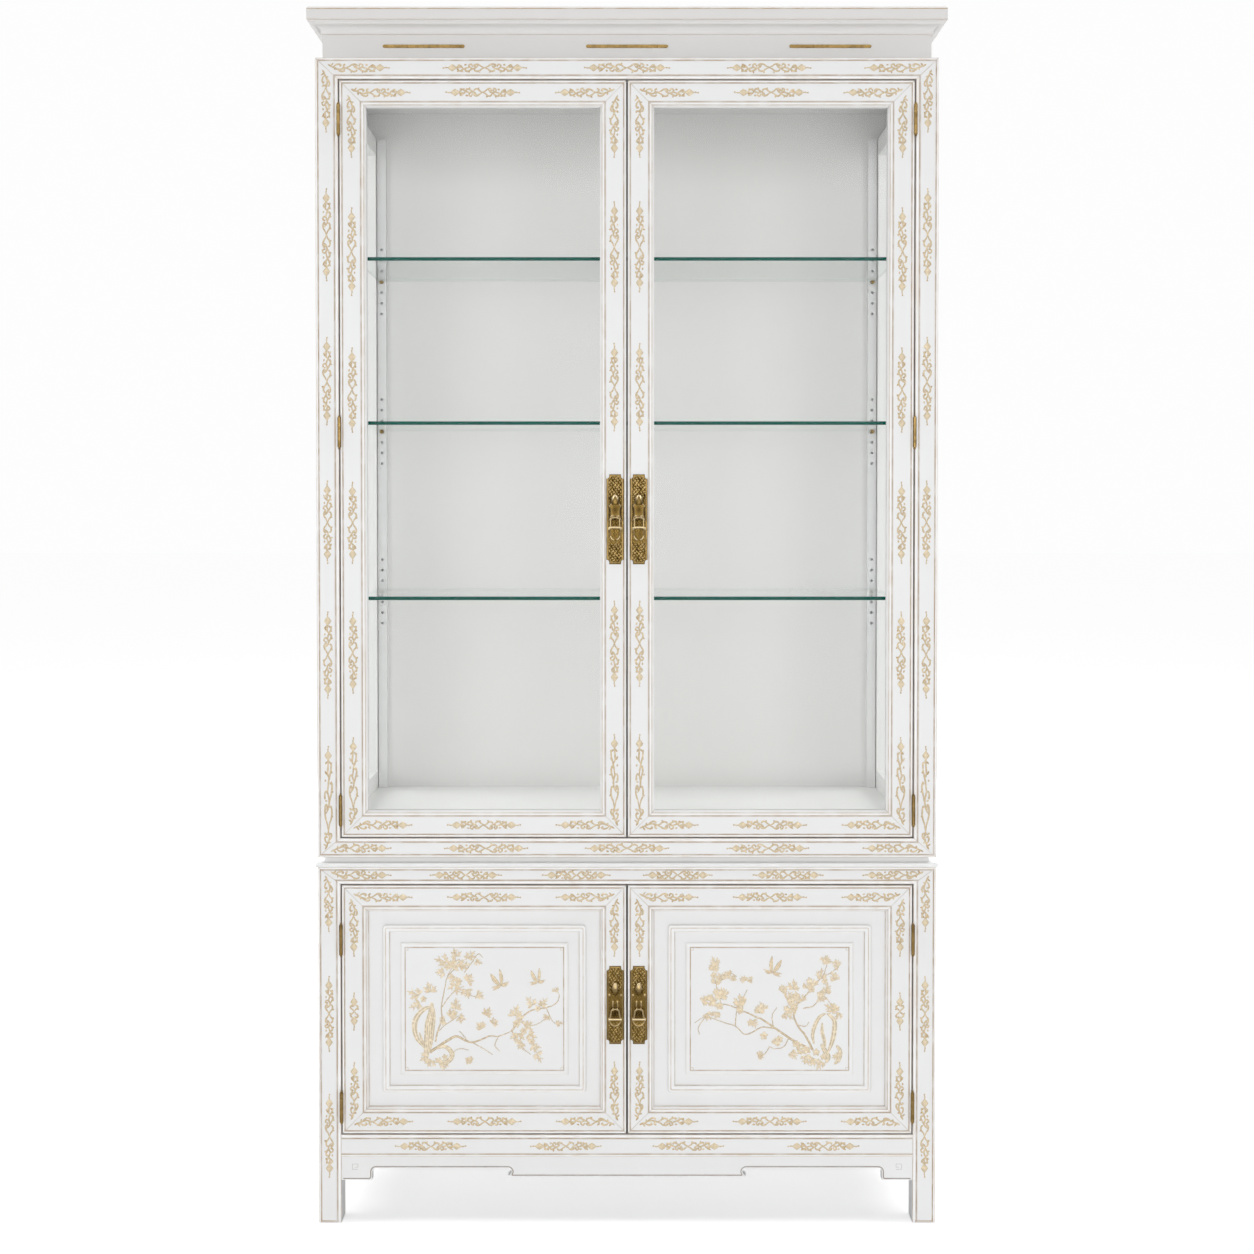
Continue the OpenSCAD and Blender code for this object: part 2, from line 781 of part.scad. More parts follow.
module shelf_standards() {
    r = pin_shank_r + pin_clear;
    deep = pin_shank_len + 1;
    color(lacquer) both_sides() for (front = [0, 1]) difference() {
        block([strip_x, liner_x],
            front ? [inside_y, front_strip_y] : [rear_strip_y, back_panel_y],
            [upper_floor_z, liner_top]);
        for (shelf = [0 : 2], i = [-spare_holes : spare_holes])
            translate([pin_x, front ? front_strip_y + 1 : rear_strip_y - 1,
                pin_z(shelf) + i * hole_pitch])
            rotate([front ? 90 : -90, 0, 0]) cylinder(h = deep + 1, r = r);
    }
}

// A shelf pin along +Y: shank, collar and a half-round tab whose flat carries the shelf
module shelf_pin() {
    over = pin_collar[0] + 1;
    translate([0, -pin_shank_len, 0]) rotate([-90, 0, 0])
        cylinder(h = pin_shank_len + joint_gap, r = pin_shank_r);
    intersection() {
        union() {
            rotate([-90, 0, 0]) cylinder(h = pin_collar[1], r = pin_collar[0]);
            rotate([-90, 0, 0]) cylinder(h = pin_tab_len, r = pin_tab_r);
        }
        block([-over, over], [-1, pin_tab_len + 1], [-over, 0]);
    }
}

module shelf_pins() {
    r = pin_shank_r;
    color(brass) both_sides() {
        for (shelf = [0 : 2]) {
            translate([pin_x, front_strip_y + joint_gap, pin_z(shelf)]) shelf_pin();
            translate([pin_x, rear_strip_y - joint_gap, pin_z(shelf)]) mirror([0, 1, 0])
                shelf_pin();
        }
        for (y = low_pin_ys) translate([inner_x, y, low_shelf_z - r]) rotate([0, 90, 0])
            translate([0, 0, -pin_tab_len]) cylinder(h = pin_tab_len + pin_shank_len, r = r);
    }
}

// Lower cabinet

// Holes for the lower shelf's pins, in a leg's inner face
module low_pin_hole(y) {
    translate([inner_x - 1, y, low_shelf_z - pin_shank_r]) rotate([0, 90, 0])
        cylinder(h = pin_shank_len + 2, r = pin_shank_r + pin_clear);
}

// The side panel's space, also as the groove that the legs and rails have for it
module side_panel_space(clear) {
    block([side_panel_x - (clear > 0 ? joint_gap : 0),
            side_panel_x + side_panel_t + (clear > 0 ? joint_gap : 0)],
        [post_back_y - panel_groove - clear, rear_post_y + panel_groove + clear],
        [apron_top + lower_side_rail_h - panel_groove - clear,
            lower_frame_top - lower_side_rail_h + panel_groove + clear]);
}

module lower_top_board() {
    color(lacquer) both_sides()
        nosed_board(half_w + lower_board_out, [front_y - lower_board_out, back_y],
            lower_frame_top, lower_board_t);
}

module front_leg() {
    difference() {
        mirror([1, 0, 0]) along_left(-half_w, front_y, 0)
            member(lower_frame_top, post_w, post_d, 0, lower_top_rail_h)
            face_section(post_w, post_d);
        side_panel_space(pane_clear);
        low_pin_hole(low_pin_ys[0]);
    }
}

module leg_front_left() {
    color(lacquer) mirror([1, 0, 0]) front_leg();
}

module leg_front_right() {
    color(lacquer) front_leg();
}

module legs_rear() {
    color(lacquer) both_sides() difference() {
        rear_post([0, lower_frame_top]);
        side_panel_space(pane_clear);
        low_pin_hole(low_pin_ys[1]);
    }
}

module lower_front_top_rail() {
    color(lacquer) {
        along_top(-half_w, front_y, lower_frame_top)
            member(case_w, lower_top_rail_h, post_d, post_w, post_w)
            face_section(lower_top_rail_h, post_d);
        stop_lip(lower_opening_top);
    }
}

module lower_front_bottom_rail() {
    color(lacquer) along_bottom(-inner_x, front_y, apron_top)
        member(2 * inner_x, lower_bottom_rail_h, post_d, 0, 0)
        face_section(lower_bottom_rail_h, post_d);
}

// Outline of half an apron below its top edge, with rounded steps; 0 is the apron's middle
module apron_half(half, mid) {
    low = -apron_h - apron_mid;
    r = apron_round;
    block_x = half - apron_end_len;
    difference() {
        translate([0, -apron_h - apron_end]) square([half, apron_h + apron_end]);
        translate([mid + r, -apron_h - r]) square([block_x - mid - 2 * r, r]);
        translate([mid + r, -apron_h - apron_end - 1])
            square([block_x - mid - r, apron_end + 1 - r]);
        translate([mid + r, -apron_h - r]) circle(r = r);
        translate([block_x - r, -apron_h - r]) circle(r = r);
        translate([-1, low - apron_end]) square([mid + r + 1.01, apron_end]);
    }
}

module apron(half, mid) {
    color(lacquer_shade) rotate([90, 0, 0]) linear_extrude(apron_t) {
        apron_half(half, mid);
        mirror([1, 0]) apron_half(half, mid);
    }
}

module front_apron() {
    translate([0, front_y + apron_set + apron_t, apron_top]) apron(inner_x, apron_mid_half);
}

module side_aprons() {
    half = (rear_post_y - post_back_y) / 2;
    middle = (rear_post_y + post_back_y) / 2;
    both_sides() translate([side_face_x, middle, apron_top]) rotate([0, 0, 90])
        translate([0, apron_t, 0]) apron(half, half * side_apron_mid);
}

module lower_side_rails() {
    ys = [post_back_y, rear_post_y];
    color(lacquer) both_sides() difference() {
        union() {
            block([rail_x, side_face_x], ys, [apron_top, apron_top + lower_side_rail_h]);
            block([rail_x, side_face_x], ys,
                [lower_frame_top - lower_side_rail_h, lower_frame_top]);
        }
        side_panel_space(pane_clear);
    }
}

module lower_side_panels() {
    color(lacquer) both_sides() side_panel_space(0);
}

module lower_back_panel() {
    x = inner_x + back_rebate - pane_clear;
    color(lacquer_shade)
        block([-x, x], [back_panel_y, back_panel_y + back_t], [apron_top, lower_frame_top]);
}

module lower_floor_board() {
    color(lacquer)
        block([-inner_x, inner_x], [inside_y, back_panel_y],
            [lower_opening_bottom, lower_floor_z]);
}

module lower_shelf() {
    x = inner_x - shelf_clear;
    color(lacquer)
        block([-x, x], [inside_y + shelf_clear, back_panel_y - shelf_clear],
            [low_shelf_z + joint_gap, low_shelf_z + joint_gap + low_shelf_t]);
}

// Hinges: one hinge stands on the XY plane round the Z axis, the case on its +X side
module knuckle_run(list) {
    for (i = list) translate([0, 0, i * knuckle_h + joint_gap])
        cylinder(h = knuckle_h - 2 * joint_gap, r = knuckle_r);
}

module leaf(own, other) {
    difference() {
        union() {
            knuckle_run(own);
            block([leaf_gap, leaf_gap + leaf_t], [0, knuckle_r + knuckle_back + leaf_w],
                [joint_gap, hinge_h - joint_gap]);
        }
        translate([0, 0, -1]) cylinder(h = hinge_h + 2, r = hinge_pin_r + pin_clear);
        for (i = other) translate([0, 0, i * knuckle_h - joint_gap])
            cylinder(h = knuckle_h + 2 * joint_gap, r = knuckle_r + knuckle_back);
    }
}

module at_hinges(heights) {
    for (z = heights) translate([hinge_x, hinge_y, z - hinge_h / 2]) children();
}

module case_hinge_leaves() {
    color(brass) both_sides() {
        at_hinges(tall_hinges) leaf([0, 2, 4], [1, 3]);
        at_hinges(low_hinges) leaf([0, 2, 4], [1, 3]);
    }
}

module hinge_pin() {
    tip = hinge_pin_r + 0.7;
    cylinder(h = hinge_h, r = hinge_pin_r);
    for (z = [-tip * 0.75, hinge_h + tip * 0.75]) translate([0, 0, z]) sphere(r = tip);
}

module hinge_pins() {
    color(brass) both_sides() {
        at_hinges(tall_hinges) hinge_pin();
        at_hinges(low_hinges) hinge_pin();
    }
}

module door_catches() {
    color(lacquer_shade) both_sides() {
        catch_body(upper_opening_top - stop_h / 2, catch_r, 0);
        catch_body(lower_opening_top - stop_h / 2, catch_r, 0);
    }
}

// Doors, drawn for the right-hand side
module door_leaves(heights) {
    color(brass) at_hinges(heights) mirror([1, 0, 0]) leaf([1, 3], [0, 2, 4]);
}

module upper_door_frame() {
    color(lacquer) mitred_frame(door_xs, front_y, upper_door_z, door_member, door_t, joint_gap)
        glazed_section();
}

module upper_door_glass() {
    in = door_member - glass_lap;
    color(glass) block([door_xs[0] + in, door_xs[1] - in],
        [front_y + glass_set, front_y + glass_set + glass_t],
        [upper_door_z[0] + in, upper_door_z[1] - in]);
}

module glazing_beads() {
    in = door_member - rebate + joint_gap;
    t = door_t - glass_set - glass_t;
    w = rebate;
    color(lacquer)
        mitred_frame([door_xs[0] + in, door_xs[1] - in], front_y + glass_set + glass_t,
            [upper_door_z[0] + in, upper_door_z[1] - in], w, t, joint_gap)
        polygon([[0, 0], [t, 0], [t, w / 2], [t / 2, w], [0, w]]);
}

module lower_door_frame() {
    color(lacquer) mitred_frame(door_xs, front_y, lower_door_z, door_member, door_t, joint_gap)
        panelled_section();
}

// Section of the raised ring: flat with rounded shoulders, drawn as [depth, across]
module ring_section() {
    r = ring_h * 0.45;
    polygon(concat(
        [[ring_h, 0]],
        [for (i = [0 : bead_steps]) let (a = 90 * i / bead_steps)
            [r * (1 - sin(a)), r * (1 - cos(a))]],
        [for (i = [0 : bead_steps]) let (a = 90 * i / bead_steps)
            [r * (1 - cos(a)), ring_w - r * (1 - sin(a))]],
        [[ring_h, ring_w]]
    ));
}

// A rectangle this far inside the door's opening
function inset_xs(d) = [door_xs[0] + door_member + d, door_xs[1] - door_member - d];
function inset_zs(d) = [lower_door_z[0] + door_member + d, lower_door_z[1] - door_member - d];

module lower_door_panel() {
    field_y = front_y + panel_set;
    top_y = field_y - tablet_h;
    line = tablet_margin + tablet_line_in;
    color(lacquer) {
        block(inset_xs(-panel_groove), [field_y + joint_gap, field_y + panel_t - joint_gap],
            inset_zs(-panel_groove));
        mitred_frame(inset_xs(ring_margin), field_y - ring_h + 2 * joint_gap,
            inset_zs(ring_margin), ring_w, ring_h, 0) ring_section();
        difference() {
            union() {
                mitred_frame(inset_xs(tablet_margin), top_y, inset_zs(tablet_margin),
                    tablet_slope, tablet_h + 2 * joint_gap, 0)
                    polygon([[tablet_h + 2 * joint_gap, 0], [tablet_h * 0.6, 0],
                        [0, tablet_slope], [tablet_h + 2 * joint_gap, tablet_slope]]);
                block(inset_xs(tablet_margin + tablet_slope), [top_y, field_y + 2 * joint_gap],
                    inset_zs(tablet_margin + tablet_slope));
            }
            difference() {
                block(inset_xs(line), [top_y - 1, top_y + tablet_line / 2], inset_zs(line));
                block(inset_xs(line + tablet_line), [top_y - 2, top_y + tablet_line],
                    inset_zs(line + tablet_line));
            }
        }
    }
}

// Pulls: plate and stirrup, drawn round the pivot's place and seen from the front
module plate_outline(h) {
    step = plate_step;
    difference() {
        square([plate_w, h], center = true);
        for (sx = [-1, 1], sz = [-1, 1]) translate([sx * plate_w / 2, sz * h / 2]) {
            translate([0, -sz * (step[1] - step[0])]) circle(r = step[0]);
            translate([0, -sz * (step[1] - step[0]) / 2])
                square([2 * step[0], step[1] - step[0]], center = true);
        }
    }
}

// The bullet boss, half sunk into the plate
module boss() {
    crown = boss_crown * boss_h;
    rotate_extrude() polygon(concat(
        [[0, 0], [boss_r * boss_waist, 0]],
        [for (i = [0 : bead_steps]) let (a = 90 * i / bead_steps)
            [boss_r * cos(a) * (1 - (1 - boss_waist) * pow(1 - i / bead_steps, 6)),
                boss_h - crown + crown * sin(a)]],
        [[0, boss_h]]
    ));
}

// A flat shape that stands out of the plate by h
module raised(h) {
    translate([0, joint_gap, 0]) rotate([90, 0, 0]) linear_extrude(h + joint_gap) children();
}

// The rim under a pull: straight sides and half a ring, with its foot left open
module rim_outline(r, side, open) {
    out = r + rim_w / 2;
    in = r - rim_w / 2;
    far = 2 * (out + side);
    difference() {
        translate([0, -side]) circle(r = out);
        translate([0, -side]) circle(r = in);
        translate([-far, -side]) square([2 * far, far]);
        if (open > 0) translate([0, -side])
            polygon([[0, 0], [-far * tan(open / 2), -far], [far * tan(open / 2), -far]]);
    }
    if (side > 0) for (x = [-out, in]) translate([x, -side - joint_gap])
        square([rim_w, side + joint_gap]);
}

// The prongs that run down from a lower boss
module prongs_outline() {
    for (s = [-1, 1]) translate([s * prong_pitch / 2 - rim_w / 2, lug_r])
        square([rim_w, prong_len]);
}

// The bell-shaped hanger with its ears, from an upper boss down to the pivot
module hanger_outline() {
    size = [hanger_w / 2, boss_up];
    last = len(hanger_half) - 1;
    polygon(concat(
        [for (p = hanger_half) [p[0] * size[0], p[1] * size[1]]],
        [for (i = [0 : last]) let (p = hanger_half[last - i]) [-p[0] * size[0], p[1] * size[1]]]
    ));
}

module backplate(plate_z, h, pivot_up, tall) {
    pivot_z = plate_z + pivot_up;
    color(brass) {
        translate([plate_x, plate_back_y, plate_z]) rotate([90, 0, 0]) linear_extrude(plate_t)
            plate_outline(h);
        intersection() {
            translate([plate_x, plate_front_y, pivot_z + boss_up]) boss();
            block([0, 2 * plate_x], [plate_front_y - 2 * boss_r, plate_back_y],
                [plate_z - h, plate_z + h]);
        }
        translate([plate_x, plate_front_y, pivot_z]) {
            if (tall) raised(hanger_t) hanger_outline();
            else raised(rim_t) prongs_outline();
        }
        translate([plate_x, plate_front_y, pivot_z - loop_len]) raised(rim_t)
            rim_outline(loop_w / 2 + loop_r, tall ? rim_side : 0, tall ? rim_open : 0);
        for (s = [-1, 1]) translate([plate_x + s * lug_pitch / 2 - lug_t / 2, 0, 0]) difference() {
            union() {
                translate([0, pivot_y, pivot_z]) rotate([0, 90, 0]) cylinder(h = lug_t, r = lug_r);
                translate([0, pivot_y, pivot_z - lug_r])
                    cube([lug_t, pivot_out + joint_gap, 2 * lug_r]);
            }
            translate([-1, pivot_y, pivot_z]) rotate([0, 90, 0])
                cylinder(h = lug_t + 2, r = loop_r + pin_clear);
        }
    }
}

// The stirrup: a top rod through the lugs' eyes, two arms, which may spread, and a crossbar
module pull(pivot_z, top_w, foot_w) {
    bend = (top_w - lug_pitch - lug_t) / 2 - lug_side_clear;
    drop = loop_len - bend;
    lean = atan((foot_w - top_w) / 2 / drop);
    half = bar_len / 2 - bar_r;
    color(brass) translate([plate_x, pivot_y, pivot_z]) {
        translate([bend - top_w / 2, 0, 0]) rotate([0, 90, 0])
            cylinder(h = top_w - 2 * bend, r = loop_r);
        both_sides() {
            translate([top_w / 2 - bend, 0, -bend]) rotate([90, 0, 0])
                rotate_extrude(angle = 90) translate([bend, 0]) circle(r = loop_r);
            if (foot_w > top_w) translate([top_w / 2, 0, -bend]) sphere(r = loop_r + 2 * joint_gap);
            translate([foot_w / 2, 0, -loop_len]) rotate([0, -lean, 0])
                cylinder(h = drop / cos(lean), r = loop_r);
            translate([half, 0, -loop_len]) sphere(r = bar_r);
        }
        translate([-half, 0, -loop_len]) rotate([0, 90, 0]) cylinder(h = 2 * half, r = bar_r);
    }
}

module left() {
    mirror([1, 0, 0]) children();
}

module upper_right_door_frame() { upper_door_frame(); }
module upper_right_door_glass() { upper_door_glass(); }
module upper_right_glazing_beads() { glazing_beads(); }
module upper_right_hinge_leaves() { door_leaves(tall_hinges); }
module upper_right_backplate() { backplate(tall_plate_z, tall_plate_h, tall_pivot_up, true); }
module upper_right_pull() { pull(tall_plate_z + tall_pivot_up, loop_w, loop_w); }
module upper_left_door_frame() { left() upper_door_frame(); }
module upper_left_door_glass() { left() upper_door_glass(); }
module upper_left_glazing_beads() { left() glazing_beads(); }
module upper_left_hinge_leaves() { left() door_leaves(tall_hinges); }
module upper_left_backplate() { left() upper_right_backplate(); }
module upper_left_pull() { left() upper_right_pull(); }
module lower_right_door_frame() { lower_door_frame(); }
module lower_right_door_panel() { lower_door_panel(); }
module lower_right_hinge_leaves() { door_leaves(low_hinges); }
module lower_right_backplate() { backplate(low_plate_z, low_plate_h, low_pivot_up, false); }
module lower_right_pull() { pull(low_plate_z + low_pivot_up, low_loop_w, low_loop_foot_w); }
module lower_left_door_frame() { left() lower_door_frame(); }
module lower_left_door_panel() { left() lower_door_panel(); }
module lower_left_hinge_leaves() { left() door_leaves(low_hinges); }
module lower_left_backplate() { left() lower_right_backplate(); }
module lower_left_pull() { left() lower_right_pull(); }

crown_top_board();
crown_moulding();
frieze_boards();
frieze_brass_strips();
upper_top_panel();
upper_front_stile_left();
upper_front_stile_right();
upper_front_top_rail();
upper_front_bottom_rail();
upper_rear_posts();
upper_side_rails();
side_glazing_frames();
side_glass_panes();
upper_back_panel();
upper_floor_board();
upper_base_plinth();
glass_shelf_top();
glass_shelf_middle();
glass_shelf_bottom();
shelf_standards();
shelf_pins();
lower_top_board();
leg_front_left();
leg_front_right();
legs_rear();
lower_front_top_rail();
lower_front_bottom_rail();
front_apron();
side_aprons();
lower_side_rails();
lower_side_panels();
lower_back_panel();
lower_floor_board();
lower_shelf();
case_hinge_leaves();
hinge_pins();
door_catches();
upper_left_door_frame();
upper_left_door_glass();
upper_left_glazing_beads();
upper_left_hinge_leaves();
upper_left_backplate();
upper_left_pull();
upper_right_door_frame();
upper_right_door_glass();
upper_right_glazing_beads();
upper_right_hinge_leaves();
upper_right_backplate();
upper_right_pull();
lower_left_door_frame();
lower_left_door_panel();
lower_left_hinge_leaves();
lower_left_backplate();
lower_left_pull();
lower_right_door_frame();
lower_right_door_panel();
lower_right_hinge_leaves();
lower_right_backplate();
lower_right_pull();
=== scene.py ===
"""Dresses the display hutch: moulded frames, gilt carving, brass fittings, glass and aged white paint."""

import logging
import math
from dataclasses import dataclass, field
from enum import Enum

import bmesh
import bpy
import numpy as np
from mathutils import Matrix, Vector


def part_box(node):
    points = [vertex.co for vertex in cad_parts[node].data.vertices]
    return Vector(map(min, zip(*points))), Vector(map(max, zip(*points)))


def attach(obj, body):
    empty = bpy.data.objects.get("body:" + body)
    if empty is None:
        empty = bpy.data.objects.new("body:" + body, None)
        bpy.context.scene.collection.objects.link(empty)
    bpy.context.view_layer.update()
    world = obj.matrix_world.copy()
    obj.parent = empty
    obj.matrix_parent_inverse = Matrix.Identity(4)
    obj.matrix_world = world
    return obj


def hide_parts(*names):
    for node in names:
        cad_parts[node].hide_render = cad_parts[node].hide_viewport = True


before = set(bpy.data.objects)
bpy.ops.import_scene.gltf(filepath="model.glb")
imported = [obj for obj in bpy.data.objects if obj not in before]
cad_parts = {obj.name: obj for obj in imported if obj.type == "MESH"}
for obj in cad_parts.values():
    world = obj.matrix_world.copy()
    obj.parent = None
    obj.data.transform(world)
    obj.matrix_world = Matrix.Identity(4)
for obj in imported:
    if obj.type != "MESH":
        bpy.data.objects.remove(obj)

log = logging.getLogger("hutch")
MM = 0.001
SAME_PLACE = 2e-6  # points closer than this, in metres, become one
PAINT_VALUES = ("line", "wear", "tone")


class Tier(Enum):
    """The two cabinets that stand on each other."""

    UPPER = "upper"
    LOWER = "lower"


class Side(Enum):
    """Left and right as seen from the front, with the sign of X there."""

    LEFT = -1
    RIGHT = 1

    @property
    def word(self) -> str:
        """The side's name as the frame spells it."""
        return self.name.lower()


# Materials


@dataclass
class Graph:
    """Adds nodes to a node tree and joins them up."""

    tree: bpy.types.NodeTree

    def node(self, kind: str, values: dict | None = None, **settings: object) -> bpy.types.Node:
        """Adds one node.

        Args:
            kind: Blender's name of the node type.
            values: Input sockets by name or number, each a value or a socket to link from.
            settings: Properties of the node itself.

        Returns:
            The new node.
        """
        made = self.tree.nodes.new(kind)
        for key, value in settings.items():
            setattr(made, key, value)
        for key, value in (values or {}).items():
            if isinstance(value, bpy.types.NodeSocket):
                self.tree.links.new(value, made.inputs[key])
            else:
                made.inputs[key].default_value = value
        return made

    def group(self, tree: bpy.types.NodeTree, values: dict[str, object]) -> bpy.types.Node:
        """Places a node group in the tree with its own values."""
        return self.node("ShaderNodeGroup", values, node_tree=tree)

    def math(self, operation: str, a: object, b: object = 0.0) -> bpy.types.NodeSocket:
        """The result of one sum, kept between 0 and 1."""
        return self.node("ShaderNodeMath", {0: a, 1: b}, operation=operation, use_clamp=True).outputs[0]

    def blend(self, share: object, a: object, b: object, kind: str = "MIX") -> bpy.types.NodeSocket:
        """Colour a with colour b laid over it by a share."""
        made = self.node("ShaderNodeMix", {0: share, 6: a, 7: b}, data_type="RGBA", blend_type=kind)
        return made.outputs[2]

    def between(self, value: object, low: float, high: float) -> bpy.types.NodeSocket:
        """A smooth step from 0 at low to 1 at high."""
        made = self.node("ShaderNodeMapRange", {0: value, 1: low, 2: high}, interpolation_type="SMOOTHSTEP")
        return made.outputs[0]

    def scaled(self, value: object, gain: float, offset: float) -> bpy.types.NodeSocket:
        """A value times a gain plus an offset, kept between 0 and 1."""
        values = {0: value, 1: gain, 2: offset}
        return self.node("ShaderNodeMath", values, operation="MULTIPLY_ADD", use_clamp=True).outputs[0]

    def bump(self, height: object, strength: float, distance: float) -> bpy.types.NodeSocket:
        """The surface's normal, tilted by a height in metres."""
        values = {"Strength": strength, "Distance": distance, "Height": height}
        return self.node("ShaderNodeBump", values).outputs[0]

    def noise(self, place: object, scale: float, detail: float = 3.0,
              rough: float = 0.5) -> bpy.types.NodeSocket:
        """Soft noise on the object's own coordinates, which are in metres."""
        values = {"Vector": place, "Scale": scale, "Detail": detail, "Roughness": rough}
        return self.node("ShaderNodeTexNoise", values).outputs[0]

    def place(self, stretch: tuple[float, float, float] = (1, 1, 1)) -> bpy.types.NodeSocket:
        """Object coordinates, stretched along each axis."""
        where = self.node("ShaderNodeTexCoord").outputs["Object"]
        return self.node("ShaderNodeMapping", {"Vector": where, "Scale": stretch}).outputs[0]

    def coat(self, worn_and_lit: bpy.types.Node, surface: bpy.types.NodeSocket, extra: dict[str, float]) -> None:
        """Gives the surface a group's colour, roughness and normal.

        Args:
            worn_and_lit: The group.
            surface: The material's surface socket.
            extra: The shader's other values by name.
        """
        given = {"Base Color": worn_and_lit.outputs["Color"], "Roughness": worn_and_lit.outputs["Roughness"],
                 "Normal": worn_and_lit.outputs["Normal"]}
        shader = self.node("ShaderNodeBsdfPrincipled", {**given, **extra})
        self.tree.links.new(shader.outputs[0], surface)


def effect(name: str, inputs: dict[str, object], build: object) -> bpy.types.NodeTree:
    """Builds a shader node group once, and gives the same one after that.

    Args:
        name: The group's name.
        inputs: Input names with their defaults: a number, or a colour of four.
        build: Called with the graph and the group's inputs; returns the outputs by name.

    Returns:
        The node group.
    """
    if name in bpy.data.node_groups:
        return bpy.data.node_groups[name]
    tree = bpy.data.node_groups.new(name, "ShaderNodeTree")
    for key, value in inputs.items():
        kind = "NodeSocketColor" if isinstance(value, tuple) else "NodeSocketFloat"
        tree.interface.new_socket(key, in_out="INPUT", socket_type=kind).default_value = value
    kinds = {"Color": "NodeSocketColor", "Normal": "NodeSocketVector"}
    for key in ("Color", "Roughness", "Normal"):
        tree.interface.new_socket(key, in_out="OUTPUT", socket_type=kinds.get(key, "NodeSocketFloat"))
    graph = Graph(tree)
    given = graph.node("NodeGroupInput").outputs
    graph.node("NodeGroupOutput", build(graph, given))
    return tree


CLOUD = (0.965, 0.962, 0.955, 1)
# Near black laid on the lacquer by the tone value: painted shade where the doors meet, and a darker apron
# line.
GAP_SHADE_AND_LINE_BLACK = (0.022, 0.019, 0.02, 1)


def aged_paint(graph: Graph, given: object) -> dict[str, object]:
    """White paint with brown glaze left in the grooves, rubbed spots along the beads, painted highlight
    on the beads and painted shade where the doors meet.

    The glaze is the line value times broken noise. The wear value marks the beads: they take
    a lighter paint as painted highlight, and are rubbed where a coarser noise is high. A slow noise
    clouds the paint. Last, the Grime value lays on near black: painted shade where the
    doors meet, and a darker apron line.

    Args:
        graph: The group's tree.
        given: Its inputs: the Paint, Bead, Glaze and Rubbed colours, and Line, Wear
            and Grime.

    Returns:
        The group's outputs by name.
    """
    place = graph.place()
    broken = graph.scaled(graph.between(graph.noise(place, 38), 0.3, 0.62), 0.5, 0.48)
    glaze = graph.math("MULTIPLY", given["Line"], broken)
    patches = graph.between(graph.noise(graph.place((1, 1, 0.45)), 26, 4), 0.52, 0.7)
    rubbed = graph.math("MULTIPLY", graph.math("MULTIPLY", given["Wear"], patches), 0.4)
    cloud = graph.between(graph.noise(place, 2.6, 4, 0.6), 0.2, 0.8)
    clouded = graph.blend(1.0, given["Paint"], CLOUD, "MULTIPLY")
    paint = graph.blend(cloud, clouded, given["Paint"])
    # Painted highlight: the bead crests take the lighter Bead paint.
    bead_highlit = graph.blend(graph.math("MULTIPLY", given["Wear"], 0.8), paint, given["Bead"])
    colour = graph.blend(glaze, graph.blend(rubbed, bead_highlit, given["Rubbed"]), given["Glaze"])
    # Painted shade where the doors meet; the apron's line takes half of it.
    colour = graph.blend(given["Grime"], colour, GAP_SHADE_AND_LINE_BLACK)
    rough = graph.scaled(graph.noise(place, 19), 0.16, 0.3)
    film = graph.math("ADD", graph.noise(graph.place((1, 1, 0.12)), 420, 2), graph.noise(place, 45, 2))
    return {"Color": colour, "Roughness": rough, "Normal": graph.bump(film, 0.12, 0.0006)}


def gilt_leaf(graph: Graph, given: object) -> dict[str, object]:
    """Gilding that is deep at the rims of each carved leaf and pale on its back; the deep rims stand in as
    painted shade along the relief's edges.

    Args:
        graph: The group's tree.
        given: Its inputs: the Pale, Warm and Deep colours, and Line and Tone.

    Returns:
        The group's outputs by name.
    """
    place = graph.place()
    rim = graph.math("MULTIPLY", given["Line"], graph.between(graph.noise(place, 210), 0.2, 0.6))
    pale = graph.blend(given["Tone"], given["Pale"], given["Warm"])
    rubbed = graph.blend(graph.between(graph.noise(place, 120), 0.58, 0.7), pale, given["Pale"])
    colour = graph.blend(rim, rubbed, given["Deep"])
    rough = graph.between(graph.noise(place, 300), -0.9, 1.3)
    grain = graph.noise(place, 900, 2)
    return {"Color": colour, "Roughness": rough, "Normal": graph.bump(grain, 0.25, 0.0004)}


def old_brass(graph: Graph, given: object) -> dict[str, object]:
    """Antique brass: dark with patina in its hollows and with painted shade, bright where hands rub it and
    where highlights are painted, with a fine hammered grain.

    Args:
        graph: The group's tree.
        given: Its inputs: the Bright, Dark and Rubbed colours, and Line and Wear.

    Returns:
        The group's outputs by name.
    """
    place = graph.place()
    tarnish = graph.between(graph.noise(place, 85, 5, 0.62), 0.38, 0.7)
    # Line is patina in the hollows and painted shade; Wear is rubbing and painted highlight.
    hollow_and_shade = graph.math("MAXIMUM", given["Line"], graph.math("MULTIPLY", tarnish, 0.55))
    colour = graph.blend(hollow_and_shade, given["Bright"], given["Dark"])
    colour = graph.blend(graph.math("MULTIPLY", given["Wear"], 0.8), colour, given["Rubbed"])
    rough = graph.scaled(hollow_and_shade, 0.28, 0.24)
    grain = graph.noise(place, 520, 3)
    return {"Color": colour, "Roughness": rough, "Normal": graph.bump(grain, 0.3, 0.0005)}


def attribute(graph: Graph, name: str) -> bpy.types.NodeSocket:
    """A value that the mesh carries at each point, or 0 where it has none."""
    return graph.node("ShaderNodeAttribute", attribute_name=name).outputs["Fac"]


def new_material(name: str) -> tuple[bpy.types.Material, Graph, bpy.types.NodeSocket]:
    """Makes a material with an empty tree.

    Args:
        name: The material's name.

    Returns:
        The material, its tree's graph and the socket that its surface goes into.
    """
    made = bpy.data.materials.new(name)
    made.use_nodes = True
    made.node_tree.nodes.clear()
    graph = Graph(made.node_tree)
    return made, graph, graph.node("ShaderNodeOutputMaterial").inputs["Surface"]


